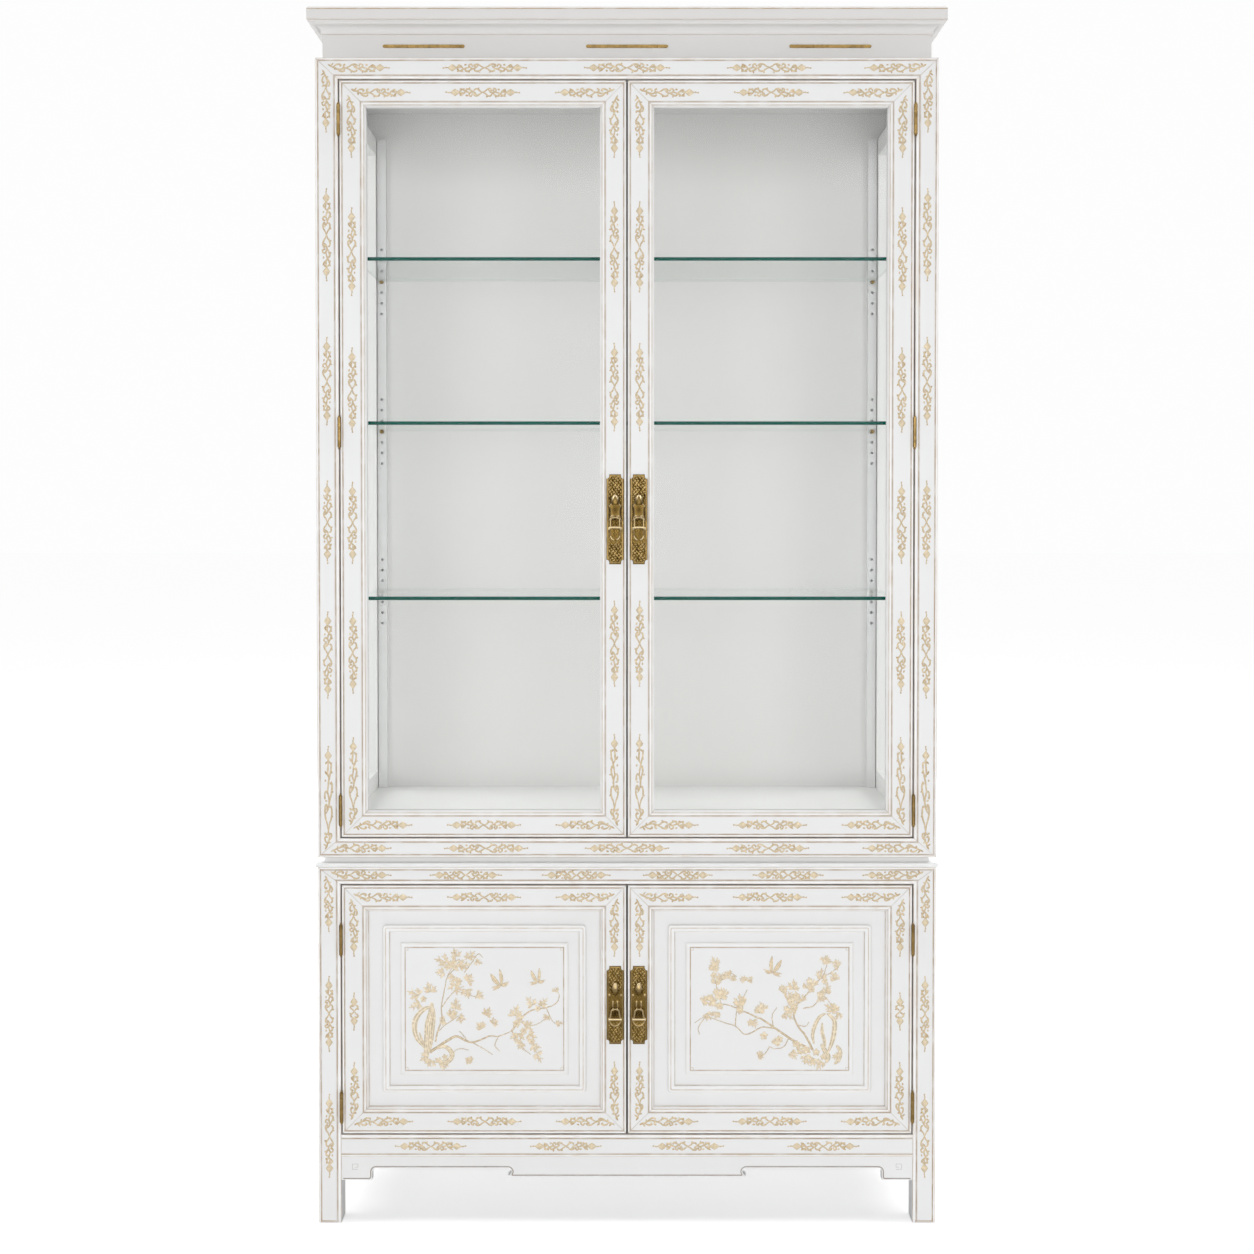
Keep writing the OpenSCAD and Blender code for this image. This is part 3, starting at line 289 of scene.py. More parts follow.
@dataclass(frozen=True)
class Lacquer:
    """Off-white lacquer, brown antique glaze and a lighter bead paint as painted highlight; painted_z are
    painted lines: height and strength.
    """

    name: str
    paint: tuple = (0.815, 0.818, 0.822, 1)
    glaze: tuple = (0.47, 0.355, 0.245, 1)
    rubbed: tuple = (0.70, 0.59, 0.47, 1)
    # The bead crests take this lighter paint: painted highlight.
    bead: tuple = (0.915, 0.91, 0.90, 1)
    painted_z: tuple = ()

    def material(self) -> bpy.types.Material:
        """Builds it.

        Returns:
            The material.
        """
        made, graph, surface = new_material(self.name)
        line = attribute(graph, "line")
        if self.painted_z:
            height = graph.node("ShaderNodeSeparateXYZ", {0: graph.place()}).outputs[2]
            for z, strength in self.painted_z:
                gap = graph.node("ShaderNodeMath", {0: height, 1: z * MM, 2: 1.1 * MM}, operation="COMPARE")
                line = graph.math("MAXIMUM", line, graph.math("MULTIPLY", gap.outputs[0], strength))
        tree = effect("aged_paint", {
            "Paint": (1, 1, 1, 1), "Bead": (1, 1, 1, 1), "Glaze": (0, 0, 0, 1), "Rubbed": (0, 0, 0, 1),
            "Line": 0.0, "Wear": 0.0, "Grime": 0.0,
        }, aged_paint)
        # The tone value lays on near black: painted shade where the doors meet.
        values = {"Paint": self.paint, "Bead": self.bead, "Glaze": self.glaze, "Rubbed": self.rubbed,
                  "Line": line, "Wear": attribute(graph, "wear"), "Grime": attribute(graph, "tone")}
        graph.coat(graph.group(tree, values), surface, {"IOR": 1.5})
        return made


@dataclass(frozen=True)
class Gilding:
    """Soft champagne gilding for the carved ornament."""

    name: str
    pale: tuple = (0.87, 0.775, 0.595, 1)
    warm: tuple = (0.62, 0.465, 0.255, 1)
    deep: tuple = (0.21, 0.128, 0.048, 1)

    def material(self) -> bpy.types.Material:
        """Builds it.

        Returns:
            The material.
        """
        made, graph, surface = new_material(self.name)
        tree = effect("gilt_leaf", {
            "Pale": (1, 1, 1, 1), "Warm": (1, 1, 1, 1), "Deep": (0, 0, 0, 1), "Line": 0.0, "Tone": 0.0,
        }, gilt_leaf)
        leaf = graph.group(tree, {"Pale": self.pale, "Warm": self.warm, "Deep": self.deep,
                                  "Line": attribute(graph, "line"), "Tone": attribute(graph, "tone")})
        graph.coat(leaf, surface, {"Metallic": 0.35})
        return made


@dataclass(frozen=True)
class Brass:
    """Antique brass of the plates, pulls, hinges and strips."""

    name: str
    bright: tuple = (0.200, 0.127, 0.035, 1)
    dark: tuple = (0.025, 0.014, 0.003, 1)
    # The rubbed colour, laid on both where the brass is rubbed and as painted highlight.
    rubbed: tuple = (0.72, 0.58, 0.35, 1)

    def material(self) -> bpy.types.Material:
        """Builds it.

        Returns:
            The material.
        """
        made, graph, surface = new_material(self.name)
        tree = effect("old_brass", {
            "Bright": (1, 1, 1, 1), "Dark": (0, 0, 0, 1), "Rubbed": (1, 1, 1, 1), "Line": 0.0, "Wear": 0.0,
        }, old_brass)
        metal = graph.group(tree, {"Bright": self.bright, "Dark": self.dark, "Rubbed": self.rubbed,
                                   "Line": attribute(graph, "line"), "Wear": attribute(graph, "wear")})
        graph.coat(metal, surface, {"Metallic": 1.0})
        return made


@dataclass(frozen=True)
class Steel:
    """Dull grey steel of the door catches."""

    name: str
    dark: tuple = (0.32, 0.33, 0.34, 1)
    light: tuple = (0.46, 0.47, 0.48, 1)

    def material(self) -> bpy.types.Material:
        """Builds it.

        Returns:
            The material.
        """
        made, graph, surface = new_material(self.name)
        grain = graph.noise(graph.place((1, 1, 8)), 260)
        colour = graph.blend(grain, self.dark, self.light)
        shader = graph.node("ShaderNodeBsdfPrincipled", {
            "Base Color": colour, "Roughness": 0.42, "Metallic": 1.0,
        })
        graph.tree.links.new(shader.outputs[0], surface)
        return made


@dataclass(frozen=True)
class Glass:
    """Clear sheet glass; a lying sheet shows a deep green on its front edge and a trace of it behind."""

    name: str
    tint: tuple = (0.996, 0.996, 0.994, 1)
    mirrored: tuple = (0.9, 0.95, 0.93, 1)
    edge: tuple = (0.001, 0.062, 0.045, 1)
    pale_edge: tuple = (0.66, 0.74, 0.71, 1)
    bend: float = 1.16
    green_edges: bool = False

    def material(self) -> bpy.types.Material:
        """Builds it: light goes straight through, and the outer face mirrors by its Fresnel share.

        Returns:
            The material.
        """
        made, graph, surface = new_material(self.name)
        clear = graph.node("ShaderNodeBsdfTransparent", {"Color": self.tint}).outputs[0]
        smear = graph.between(graph.noise(graph.place(), 9, 4), -0.4, 6.0)
        mirror = graph.node("ShaderNodeBsdfPrincipled", {
            "Base Color": self.mirrored, "Roughness": smear, "Metallic": 1.0,
        }).outputs[0]
        share = graph.node("ShaderNodeFresnel", {"IOR": self.bend}).outputs[0]
        inside = graph.node("ShaderNodeNewGeometry").outputs["Backfacing"]
        share = graph.math("MULTIPLY", share, graph.math("SUBTRACT", 1.0, inside))
        shown = graph.node("ShaderNodeMixShader", {0: share, 1: clear, 2: mirror}).outputs[0]
        if self.green_edges:
            facing = graph.node("ShaderNodeTexCoord").outputs["Normal"]
            up = graph.node("ShaderNodeSeparateXYZ", {0: facing}).outputs[2]
            level = graph.node("ShaderNodeMath", {0: up}, operation="ABSOLUTE").outputs[0]
            lying = graph.between(level, 0.4, 0.6)
            depth = graph.noise(graph.place((1, 1, 30)), 22, 3)
            deep = graph.blend(depth, self.edge, tuple(min(1, c * 1.8) for c in self.edge))
            back = graph.node("ShaderNodeSeparateXYZ", {0: facing}).outputs[1]
            hidden = graph.math("MAXIMUM", graph.between(back, -0.6, -0.4), inside)
            colour = graph.blend(hidden, deep, self.pale_edge)
            lying = graph.math("MAXIMUM", lying, graph.math("MULTIPLY", hidden, 0.8))
            cut = graph.node("ShaderNodeBsdfPrincipled", {
                "Base Color": colour, "Roughness": 0.2, "Specular IOR Level": 0.12}).outputs[0]
            shown = graph.node("ShaderNodeMixShader", {0: lying, 1: cut, 2: shown}).outputs[0]
        graph.tree.links.new(shown, surface)
        return made


# Surfaces


def placed(name: str, data: bpy.types.ID) -> bpy.types.Object:
    """Puts a mesh, a light or a camera into the scene as an object.

    Args:
        name: The object's name.
        data: What it shows.

    Returns:
        The new object.
    """
    made = bpy.data.objects.new(name, data)
    bpy.context.scene.collection.objects.link(made)
    return made


@dataclass
class Patch:
    """Grids of points that together make one piece; each point has its line, wear and tone."""

    points: list = field(default_factory=list)
    faces: list = field(default_factory=list)
    values: dict = field(default_factory=lambda: {name: [] for name in PAINT_VALUES})
    count: int = 0

    def grid(self, xyz: np.ndarray, wrap_rows: bool = False, wrap_columns: bool = False,
             flip: bool = False, **values: object) -> None:
        """Adds grids of points, each face joining four neighbours.

        A face's outward side is the direction along the rows crossed with the one along the columns.

        Args:
            xyz: Places in millimetres, as (rows, columns, 3) or (grids, rows, columns, 3).
            wrap_rows: Joins the last row to the first.
            wrap_columns: Joins the last column to the first.
            flip: Turns the faces over.
            values: The line, wear or tone of the points, each a number or an array.
        """
        xyz = np.asarray(xyz, float)
        xyz = xyz[None] if xyz.ndim == 3 else xyz
        index = self.count + np.arange(xyz[..., 0].size).reshape(xyz.shape[:3])
        if wrap_rows:
            index = np.concatenate([index, index[:, :1]], 1)
        if wrap_columns:
            index = np.concatenate([index, index[:, :, :1]], 2)
        corners = [index[:, :-1, :-1], index[:, 1:, :-1], index[:, 1:, 1:], index[:, :-1, 1:]]
        quads = np.stack(corners, -1).reshape(-1, 4)
        self.points.append(xyz.reshape(-1, 3) * MM)
        self.faces.append(quads[:, ::-1] if flip else quads)
        for name in PAINT_VALUES:
            shaped = np.broadcast_to(np.asarray(values.get(name, 0.0), float), xyz.shape[:3])
            self.values[name].append(shaped.reshape(-1))
        self.count += xyz[..., 0].size

    def piece(self, name: str, body: str, slot: str, material: bpy.types.Material,
              replaces: tuple[str, ...] = (), closed: bool = False, crease: float = 38.0) -> bpy.types.Object:
        """Makes the gathered grids one mesh object that rides on a body.

        Args:
            name: The piece's name.
            body: The body that it rides on.
            slot: The record's material slot; not used.
            material: Its finish.
            replaces: The nodes that it stands for.
            closed: True where every shell is closed, so that its normals can be recalculated.
            crease: Edges sharper than this many degrees stay sharp.

        Returns:
            The new object.
        """
        points, quads = np.concatenate(self.points), np.concatenate(self.faces)
        mesh = bpy.data.meshes.new(name)
        mesh.vertices.add(len(points))
        mesh.vertices.foreach_set("co", points.astype(np.float32).ravel())
        mesh.loops.add(quads.size)
        mesh.loops.foreach_set("vertex_index", quads.astype(np.int32).ravel())
        mesh.polygons.add(len(quads))
        mesh.polygons.foreach_set("loop_start", np.arange(0, quads.size, 4, dtype=np.int32))
        mesh.update(calc_edges=True)
        for value in PAINT_VALUES:
            layer = mesh.attributes.new(value, "FLOAT", "POINT")
            layer.data.foreach_set("value", np.concatenate(self.values[value]).astype(np.float32))
        work = bmesh.new()
        work.from_mesh(mesh)
        bmesh.ops.remove_doubles(work, verts=work.verts, dist=SAME_PLACE)
        if closed:
            bmesh.ops.recalc_face_normals(work, faces=work.faces)
        work.to_mesh(mesh)
        work.free()
        mesh.validate()
        mesh.polygons.foreach_set("use_smooth", np.ones(len(mesh.polygons), bool))
        mesh.set_sharp_from_angle(angle=math.radians(crease))
        mesh.materials.append(material)
        made = placed(name, mesh)
        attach(made, body)
        if replaces:
            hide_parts(*replaces)
        log.info("%s: %d faces on %s", name, len(mesh.polygons), body)
        return made


def corners_of(node: str) -> tuple[np.ndarray, np.ndarray]:
    """A node's lowest and highest corner, in millimetres."""
    low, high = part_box(node)
    return np.array(low) / MM, np.array(high) / MM


@dataclass(frozen=True)
class Section:
    """A moulding's section, one row per point: across, depth, back, line and wear, lengths in mm."""

    rows: np.ndarray

    @property
    def width(self) -> float:
        """How wide the moulding is."""
        return float(self.rows[:, 0].max())


@dataclass(frozen=True)
class Moulding:
    """Sizes that the mouldings of both cabinets share, in mm."""

    edge_bead: float = 4.0
    inner_bead: float = 6.0
    quirk_w: float = 1.0
    quirk_d: float = 1.2
    band_drop: float = 0.5
    edge_drop: float = 1.4
    sticking: float = 8.0
    sticking_bead: float = 4.5
    sticking_d: float = 5.0
    post_d: float = 44.0
    door_t: float = 22.0
    member: float = 44.0
    glass_set: float = 10.0
    rebate: float = 7.5

    def bead(self, start: float, end: float, back: float) -> list[list[float]]:
        """A half-round bead: depth is the quirk's depth times one minus the sine of the angle.

        Args:
            start: Where it starts across the member.
            end: Where it ends.
            back: Depth of the member's back.

        Returns:
            Rows of a section.
        """
        angle = np.linspace(0, math.pi, 11)
        across = (start + end) / 2 - (end - start) / 2 * np.cos(angle)
        depth = self.quirk_d * (1 - np.sin(angle))
        line = np.clip(1.1 - np.minimum(across - start, end - across) / 1.05, 0, 1)
        return np.stack([across, depth, 0 * across + back, line, np.sin(angle) ** 3], 1).tolist()

    def band(self, end: float, back: float) -> list[list[float]]:
        """The groove, the flat band and the second groove, with glaze in and beside both grooves.

        Args:
            end: Where the second groove ends across the member.
            back: Depth of the member's back.

        Returns:
            Rows of a section.
        """
        low, flat, edge = self.quirk_d, self.band_drop, self.edge_bead + self.quirk_w
        rise = end - self.quirk_w
        return [
            [edge - 0.5, low, back, 1, 0], [edge, low, back, 1, 0], [edge, flat, back, 0.85, 0],
            [edge + 1.2, flat, back, 0, 0], [rise - 1.9, flat, back, 0, 0], [rise, flat, back, 0.8, 0],
            [rise, low, back, 1, 0], [rise + 0.5, low, back, 1, 0],
        ]

    def face(self, width: float) -> Section:
        """The section of a face frame member.

        Args:
            width: The member's width.

        Returns:
            The section.
        """
        end, t, side = width - self.inner_bead, self.post_d, self.quirk_d + self.edge_drop
        rows = self.bead(0, self.edge_bead, t) + self.band(end, t) + self.bead(end, width, t)
        return Section(np.array([[0, side, t, 0, 0], *rows, [width, side, t, 0, 0]]))

    def door(self, glazed: bool) -> Section:
        """The section of a door member: its inner edge slopes down to the glass or panel.

        Args:
            glazed: True where the inner edge's back is cut away for a pane.

        Returns:
            The section.
        """
        end, t, w = self.member - self.sticking, self.door_t, self.member
        slope = end + self.sticking_bead
        sticking = [[a, d, b, max(0.8 * line, 0.35 * max(0.0, 1 - (a - end) / 2.0)), wear]
                    for a, d, b, line, wear in self.bead(end, slope, t)]
        outer = [[0, self.quirk_d + self.edge_drop, t, 0, 0], *self.bead(0, self.edge_bead, t)]
        rows = [*outer, *self.band(end, t), *sticking]
        rows += [[slope + 0.6, 1.25, t, 0.25, 0], [w - 1.0, self.sticking_d - 0.9, t, 0, 0.4]]
        if glazed:
            lip = w - self.rebate
            rows = [r if r[0] <= lip else [r[0], r[1], self.glass_set, *r[3:]] for r in rows]
            at = next(i for i, r in enumerate(rows) if r[0] > lip)
            joint = [lip, rows[at][1], t, 0, 0]
            rows[at:at] = [joint, [lip, rows[at][1], self.glass_set, 0, 0]]
            rows.append([w, self.sticking_d, self.glass_set, 0.15, 0.2])
        else:
            rows.append([w, self.sticking_d, t, 0.6, 0.2])
        return Section(np.array(rows))


# How far from a mitre or a foot the columns of points stand, in mm, so that glaze there stays narrow.
MITRE_STEPS = (0.05, 0.5, 1.3, 3.0)
FOOT_STEPS = (0.0, 2.6, 3.0, 3.4, 4.0)
MITRE_NOTCH = 0.35


def member(patch: Patch, start: tuple[float, float, float], along: tuple[int, int, int],
           across: tuple[int, int, int], run: float, section: Section, cuts: tuple[float, float],
           foot: bool = False, meets: bool = False) -> None:
    """Carries a moulding's section along a straight run, with mitred or square ends.

    A point is the start, plus its place across times the across direction, plus its depth along Y,
    plus its place along the run. A mitre moves an end in by the cut times the share of the width.

    Args:
        patch: The piece that the member goes into.
        start: The member's outer front corner.
        along: Unit direction of the run.
        across: Unit direction from the outer to the inner edge.
        run: Length along the outer edge.
        section: The moulding.
        cuts: How far each end's mitre reaches in at the inner edge, or 0 for a square end.
        foot: True where the grooves' glaze also runs across the start of the run.
        meets: True where the outer edge meets another door; that front edge then gets painted shade from the
            gap.
    """
    a, depth, back, line, wear = section.rows.T
    share = a / section.width
    first = cuts[0] * share[:, None] + np.array(FOOT_STEPS if foot else MITRE_STEPS)
    other = run - cuts[1] * share[:, None] - np.array(MITRE_STEPS[::-1])
    middle = first[:, -1:] + (other[:, :1] - first[:, -1:]) * np.linspace(0, 1, 9)[1:-1]
    place = np.concatenate([first, middle, other], 1)
    columns = place.shape[1]
    notch, glaze = np.zeros(columns), np.zeros(columns)
    if foot:
        glaze[1:4] = 1
    elif cuts[0]:
        notch[0], glaze[:2] = MITRE_NOTCH, (0.9, 0.5)
    if cuts[1]:
        notch[-1], glaze[-2:] = MITRE_NOTCH, (0.5, 0.9)
    inside = (a > 4.5) & (a < section.width - 4.5) if foot else a >= 0
    front = np.concatenate([depth[:, None] + notch, np.repeat(back[::-1, None], columns, 1)], 0)
    along_run = np.concatenate([place, place[::-1]], 0)
    over = np.concatenate([a, a[::-1]])[:, None]
    xyz = (np.array(start) + over[..., None] * np.array(across) + along_run[..., None] * np.array(along)
           + front[..., None] * np.array([0, 1, 0]))
    drawn = np.maximum(line[:, None], glaze * inside[:, None])
    lines = np.concatenate([drawn, np.zeros_like(drawn)])
    worn_and_lit = np.concatenate([np.repeat(wear[:, None], columns, 1), np.zeros_like(drawn)])
    # Painted shade: the front edge that meets the other door darkens towards the gap.
    gap_shade = np.clip(1.5 - a / 0.55, 0, 1) * (depth < 2) * meets
    tone = np.concatenate([np.repeat(gap_shade[:, None], columns, 1), np.zeros_like(drawn)])
    patch.grid(xyz, wrap_rows=True, line=lines, wear=worn_and_lit, tone=tone)
    half = len(a)
    for column in (0, columns - 1):
        cap = np.stack([xyz[:half, column], xyz[half:, column][::-1]])
        patch.grid(cap)


def block(patch: Patch, low: tuple[float, float, float], high: tuple[float, float, float],
          ease: float = 0.8, **values: object) -> None:
    """Adds a board with eased long edges: a rounded rectangle in XZ carried along Y.

    Args:
        patch: The piece that the board goes into.
        low: Its lowest corner.
        high: Its highest corner.
        ease: Radius of its edges.
        values: Paint values for the whole board.
    """
    low, high = np.array(low, float), np.array(high, float)
    middle, half = (low + high) / 2, (high - low) / 2
    loops = [(0, 0), (half[0] - ease, half[2] - ease), (half[0], half[2])]
    rows, places = [], []
    for y, order in ((low[1], loops), (high[1], loops[::-1])):
        for w, h in order:
            radius = ease if w == half[0] else 0.01
            rows.append(round_rectangle(max(w, 0.01), max(h, 0.01), radius, 3))
            inner = w < half[0]
            places.append(y if inner else y + math.copysign(ease, middle[1] - y))
    plan = np.array(rows)
    y = np.broadcast_to(np.array(places)[:, None], plan.shape[:2])
    xyz = np.stack([middle[0] + plan[..., 0], y, middle[2] + plan[..., 1]], -1)
    patch.grid(xyz, wrap_columns=True, **values)


def round_rectangle(half_w: float, half_h: float, radius: float, steps: int = 5) -> np.ndarray:
    """Points round a rectangle, counter-clockwise: a quarter circle at each corner.

    Args:
        half_w: Half its width.
        half_h: Half its height.
        radius: The corners' radius.
        steps: Points in each corner.

    Returns:
        Points as (4 * steps, 2).
    """
    radius = max(min(radius, half_w, half_h), 1e-3)
    turn = np.linspace(0, math.pi / 2, steps) + np.arange(4)[:, None] * math.pi / 2
    sign = np.array([[1, 1], [-1, 1], [-1, -1], [1, -1]])
    middle = sign * np.array([half_w - radius, half_h - radius])
    return (middle[:, None] + radius * np.stack([np.cos(turn), np.sin(turn)], -1)).reshape(-1, 2)


def nest(patch: Patch, middle: tuple[float, float], half: tuple[float, float], loops: np.ndarray) -> None:
    """A front built of rounded rectangles inside each other.

    Each row of loops gives how far its rectangle lies in from the outline, the radius of its
    corners, its depth along Y, its line and its wear. The last one shuts on the middle line.

    Args:
        patch: The piece that the front goes into.
        middle: X and Z of the middle.
        half: Half the outline's width and height.
        loops: The rows, as (loops, 5).
    """
    plan = np.array([round_rectangle(half[0] - r[0], half[1] - r[0], r[1], 6) for r in loops])
    spine = half[0] - half[1]
    shut = np.clip(plan[-1] * [1, 0], -abs(spine), abs(spine)) if spine > 0 else plan[-1] * 0
    first = np.clip(plan[0] * [1, 0], -abs(spine), abs(spine)) if spine > 0 else plan[0] * 0
    plan = np.concatenate([first[None], plan, shut[None]])
    rows = np.concatenate([loops[:1], loops, loops[-1:]])
    y = np.broadcast_to(rows[:, 2, None], plan.shape[:2])
    xyz = np.stack([middle[0] + plan[..., 0], y, middle[1] + plan[..., 1]], -1)
    patch.grid(xyz, wrap_columns=True, flip=True, line=rows[:, 3, None], wear=rows[:, 4, None])


def tube(patch: Patch, path: np.ndarray, radius: np.ndarray, normal: tuple[float, float, float],
         sides: int = 12, **values: object) -> None:
    """A round bar along a path that lies in one plane, shut at both ends.

    Each ring is the path's point plus the radius times the cosine of the angle along the plane's
    normal plus its sine along the path's side.

    Args:
        patch: The piece that the bar goes into.
        path: Points as (rows, 3).
        radius: The bar's radius at each point.
        normal: The plane's unit normal.
        sides: Points in each ring.
        values: Paint values for the whole bar.
    """
    way = np.gradient(path, axis=0)
    way /= np.linalg.norm(way, axis=1, keepdims=True)
    up = np.broadcast_to(np.array(normal, float), way.shape)
    side = np.cross(way, up)
    ends = np.array([[0.0], [0.6], [0.92]])
    radius = np.broadcast_to(np.asarray(radius, float), len(path))
    start = path[0] - way[0] * radius[0] * (1 - ends * 0.9)
    stop = path[-1] + way[-1] * radius[-1] * (1 - ends[::-1] * 0.9)
    path = np.concatenate([start, path, stop])
    rings = np.concatenate([radius[0] * ends[:, 0], radius, radius[-1] * ends[::-1, 0]])
    up = np.concatenate([up[:1].repeat(3, 0), up, up[-1:].repeat(3, 0)])
    side = np.concatenate([side[:1].repeat(3, 0), side, side[-1:].repeat(3, 0)])
    angle = np.arange(sides) * 2 * math.pi / sides
    ring = np.cos(angle)[None, :, None] * up[:, None] + np.sin(angle)[None, :, None] * side[:, None]
    patch.grid(path[:, None] + rings[:, None, None] * ring, wrap_columns=True, **values)


# Carving


@dataclass
class Carving:
    """Low relief on a flat face: leaves and stems, drawn in X and Z with their height in front."""

    face_y: float
    deepness: float = 1.0
    patch: Patch = field(default_factory=Patch)

    def _raise(self, plan: np.ndarray, height: np.ndarray, line: np.ndarray, tone: object) -> None:
        """Puts drawn points in front of the face, each by its height."""
        xyz = np.stack([plan[..., 0], self.face_y - height, plan[..., 1]], -1)
        self.patch.grid(xyz, line=line * self.deepness, tone=tone)

    def leaves(self, at: np.ndarray, turn: np.ndarray, length: np.ndarray, width: np.ndarray,
               rise: float = 0.9, point: object = 0.9, bend: object = 0.0, tone: object = 0.3) -> None:
        """Adds leaves, petals, buds or dots, which are all one form.

        A leaf's half width is half its width times the sine along it, to the power of point. Its
        height is the rise times a half round across it, less a groove along its vein. bend
        pushes its tip sideways by that share of its length.

        Args:
            at: Where each leaf starts, as (leaves, 2).
            turn: Its direction in degrees.
            length: Its length.
            width: Its greatest width.
            rise: How high it stands.
            point: 0.5 for round ends, 1.5 for long points.
            bend: Sideways bend.
            tone: Warmth of its colour.
        """
        at = np.atleast_2d(at)
        count = len(at)
        given = (turn, length, width, point, bend, tone)
        turn, length, width, point, bend, tone = (
            np.broadcast_to(np.asarray(value, float), count)[:, None, None] for value in given)
        t = np.array([0, 0.14, 0.38, 0.64, 0.87, 1.0])[None, :, None]
        s = np.array([-1, -0.55, 0, 0.55, 1.0])[None, None, :]
        angle = np.radians(turn)
        way = np.stack([np.cos(angle), np.sin(angle)], -1)
        side = np.stack([-np.sin(angle), np.cos(angle)], -1)
        body = np.sin(np.pi * np.clip(t, 0, 1)) ** point
        half = width / 2 * body
        off = bend * length * t ** 2 + s * half
        plan = at[:, None, None, :] + (length * t + 0 * s)[..., None] * way + off[..., None] * side
        dome = np.sqrt(np.clip(1 - s ** 2, 0, 1)) - 0.35 * np.exp(-(s / 0.3) ** 2)
        height = -0.12 + (rise + 0.12) * np.maximum(dome, 0) * np.clip(body, 0, 1) ** 0.4
        rim = np.clip(s ** 4 + 0.5 * np.exp(-(s / 0.2) ** 2) + 0.8 * (1 - np.clip(body * 2.2, 0, 1)), 0, 1)
        self._raise(plan, np.broadcast_to(height, plan.shape[:3]),
                    line=np.broadcast_to(rim, plan.shape[:3]), tone=np.broadcast_to(tone, plan.shape[:3]))

    def stems(self, paths: np.ndarray, radius: object, rise: float = 0.6, line: float = 0.8,
              flutes: int = 0, tone: float = 0.5) -> None:
        """Adds stems: a half-round ridge along each path, or a fluted strand of rock.

        Args:
            paths: Points as (stems, points, 2), or (points, 2) for one.
            radius: Half its width, for all or for each point.
            rise: Its height.
            line: How deep its colour is.
            flutes: Grooves along its back.
            tone: Warmth of its colour.
        """
        paths = np.asarray(paths, float)
        paths = paths[None] if paths.ndim == 2 else paths
        way = np.gradient(paths, axis=1)
        way /= np.maximum(np.linalg.norm(way, axis=-1, keepdims=True), 1e-9)
        side = np.stack([-way[..., 1], way[..., 0]], -1)
        s = np.linspace(-1, 1, 5 if not flutes else 4 * flutes + 1)
        radius = np.broadcast_to(np.asarray(radius, float), paths.shape[:2])
        plan = paths[:, :, None] + (radius[..., None] * s)[..., None] * side[:, :, None]
        dome = np.sqrt(np.clip(1 - s ** 2, 0, 1))
        groove = 0.3 * (0.5 - 0.5 * np.cos(2 * math.pi * flutes * (s + 1) / 2)) if flutes else 0 * s
        share = np.clip(radius / radius.max(), 0, 1)[..., None]
        height = -0.12 + (rise + 0.12) * np.maximum(dome - groove, 0) * share
        rim = np.clip(line * (0.45 + 0.55 * s ** 2) + 1.6 * groove, 0, 1)
        self._raise(plan, height, line=np.broadcast_to(rim, height.shape), tone=tone)


def smooth_path(points: tuple, count: int = 28) -> np.ndarray:
    """A smooth curve through drawn points, by Catmull-Rom: each span is a cubic of its neighbours.

    Args:
        points: The drawn points.
        count: How many points the curve gets.

    Returns:
        Points as (count, 2).
    """
    p = np.asarray(points, float)
    p = np.concatenate([2 * p[:1] - p[1:2], p, 2 * p[-1:] - p[-2:-1]])
    u = np.linspace(0, len(p) - 3 - 1e-9, count)
    i, f = u.astype(int), (u % 1)[:, None]
    a, b, c, d = p[i], p[i + 1], p[i + 2], p[i + 3]
    bent = (2 * a - 5 * b + 4 * c - d) * f ** 2 + (3 * b - a - 3 * c + d) * f ** 3
    return 0.5 * (2 * b + (c - a) * f + bent)


@dataclass(frozen=True)
class Sprig:
    """Drawn strokes of an ornament, and its leaves as x, z, direction, length and bend, in mm."""

    strokes: tuple
    leaves: tuple


KNOT = Sprig(
    strokes=(
        ((0, 0.4), (5, 3.0), (9, 6.8), (14, 8.2), (18, 5.6), (16.5, 3.0), (14, 3.4)),
        ((0, -0.4), (5, -2.8), (8.5, -6.8), (13, -8.2), (17, -6.2), (16, -4.2)),
    ),
    leaves=((11, -7.2, 205, 5.5, 0.2),),
)
SCROLL = Sprig(
    strokes=(
        *KNOT.strokes,
        ((12, 5.6), (15, 0.6), (20, -1.8), (24.5, 0.4), (27, 4.6), (25, 8.0), (21.5, 7.6)),
        ((19, -1.8), (24, -5.0), (29, -8.0), (33, -6.4), (31.5, -4.0)),
        ((25, 1.4), (31, -0.4), (36, -3.2), (41, -6.8), (46, -7.0)),
        ((35, -2.4), (38, 1.4), (43, 0.8), (48, 0.0)),
    ),
    leaves=(
        *KNOT.leaves, (20, 1.6, 62, 5.5, 0.15), (26.5, -6.6, 250, 4.6, 0.2), (37.5, 2.2, 36, 10.0, -0.12),
        (34.5, 5.4, 150, 5.0, 0.2), (40, -5.8, 225, 5.0, -0.2), (46.5, 1.2, 128, 6.2, 0.2),
        (46.5, -1.2, 232, 6.2, -0.2),
    ),
)
START = Sprig(
    strokes=(
        ((-29, 7.0), (-22, 2.6), (-15, -1.6), (-8, -3.0), (0, 0.2)),
        ((-21, 2.2), (-17, 6.6), (-11.5, 7.8), (-8.5, 5.0), (-11, 3.2)),
        ((-15, -1.4), (-12, -5.2), (-7, -7.8), (-3, -6.2), (-4, -4.2)),
        ((-8, -3.0), (-4, 1.8), (-4.5, 6.0), (-1.5, 8.0)),
    ),
    leaves=((-30.5, 8.2, -34, 11.0, 0.1), (-25.5, 4.6, 34, 8.0, 0.2), (-18, 0.4, 250, 5.0, 0.2)),
)


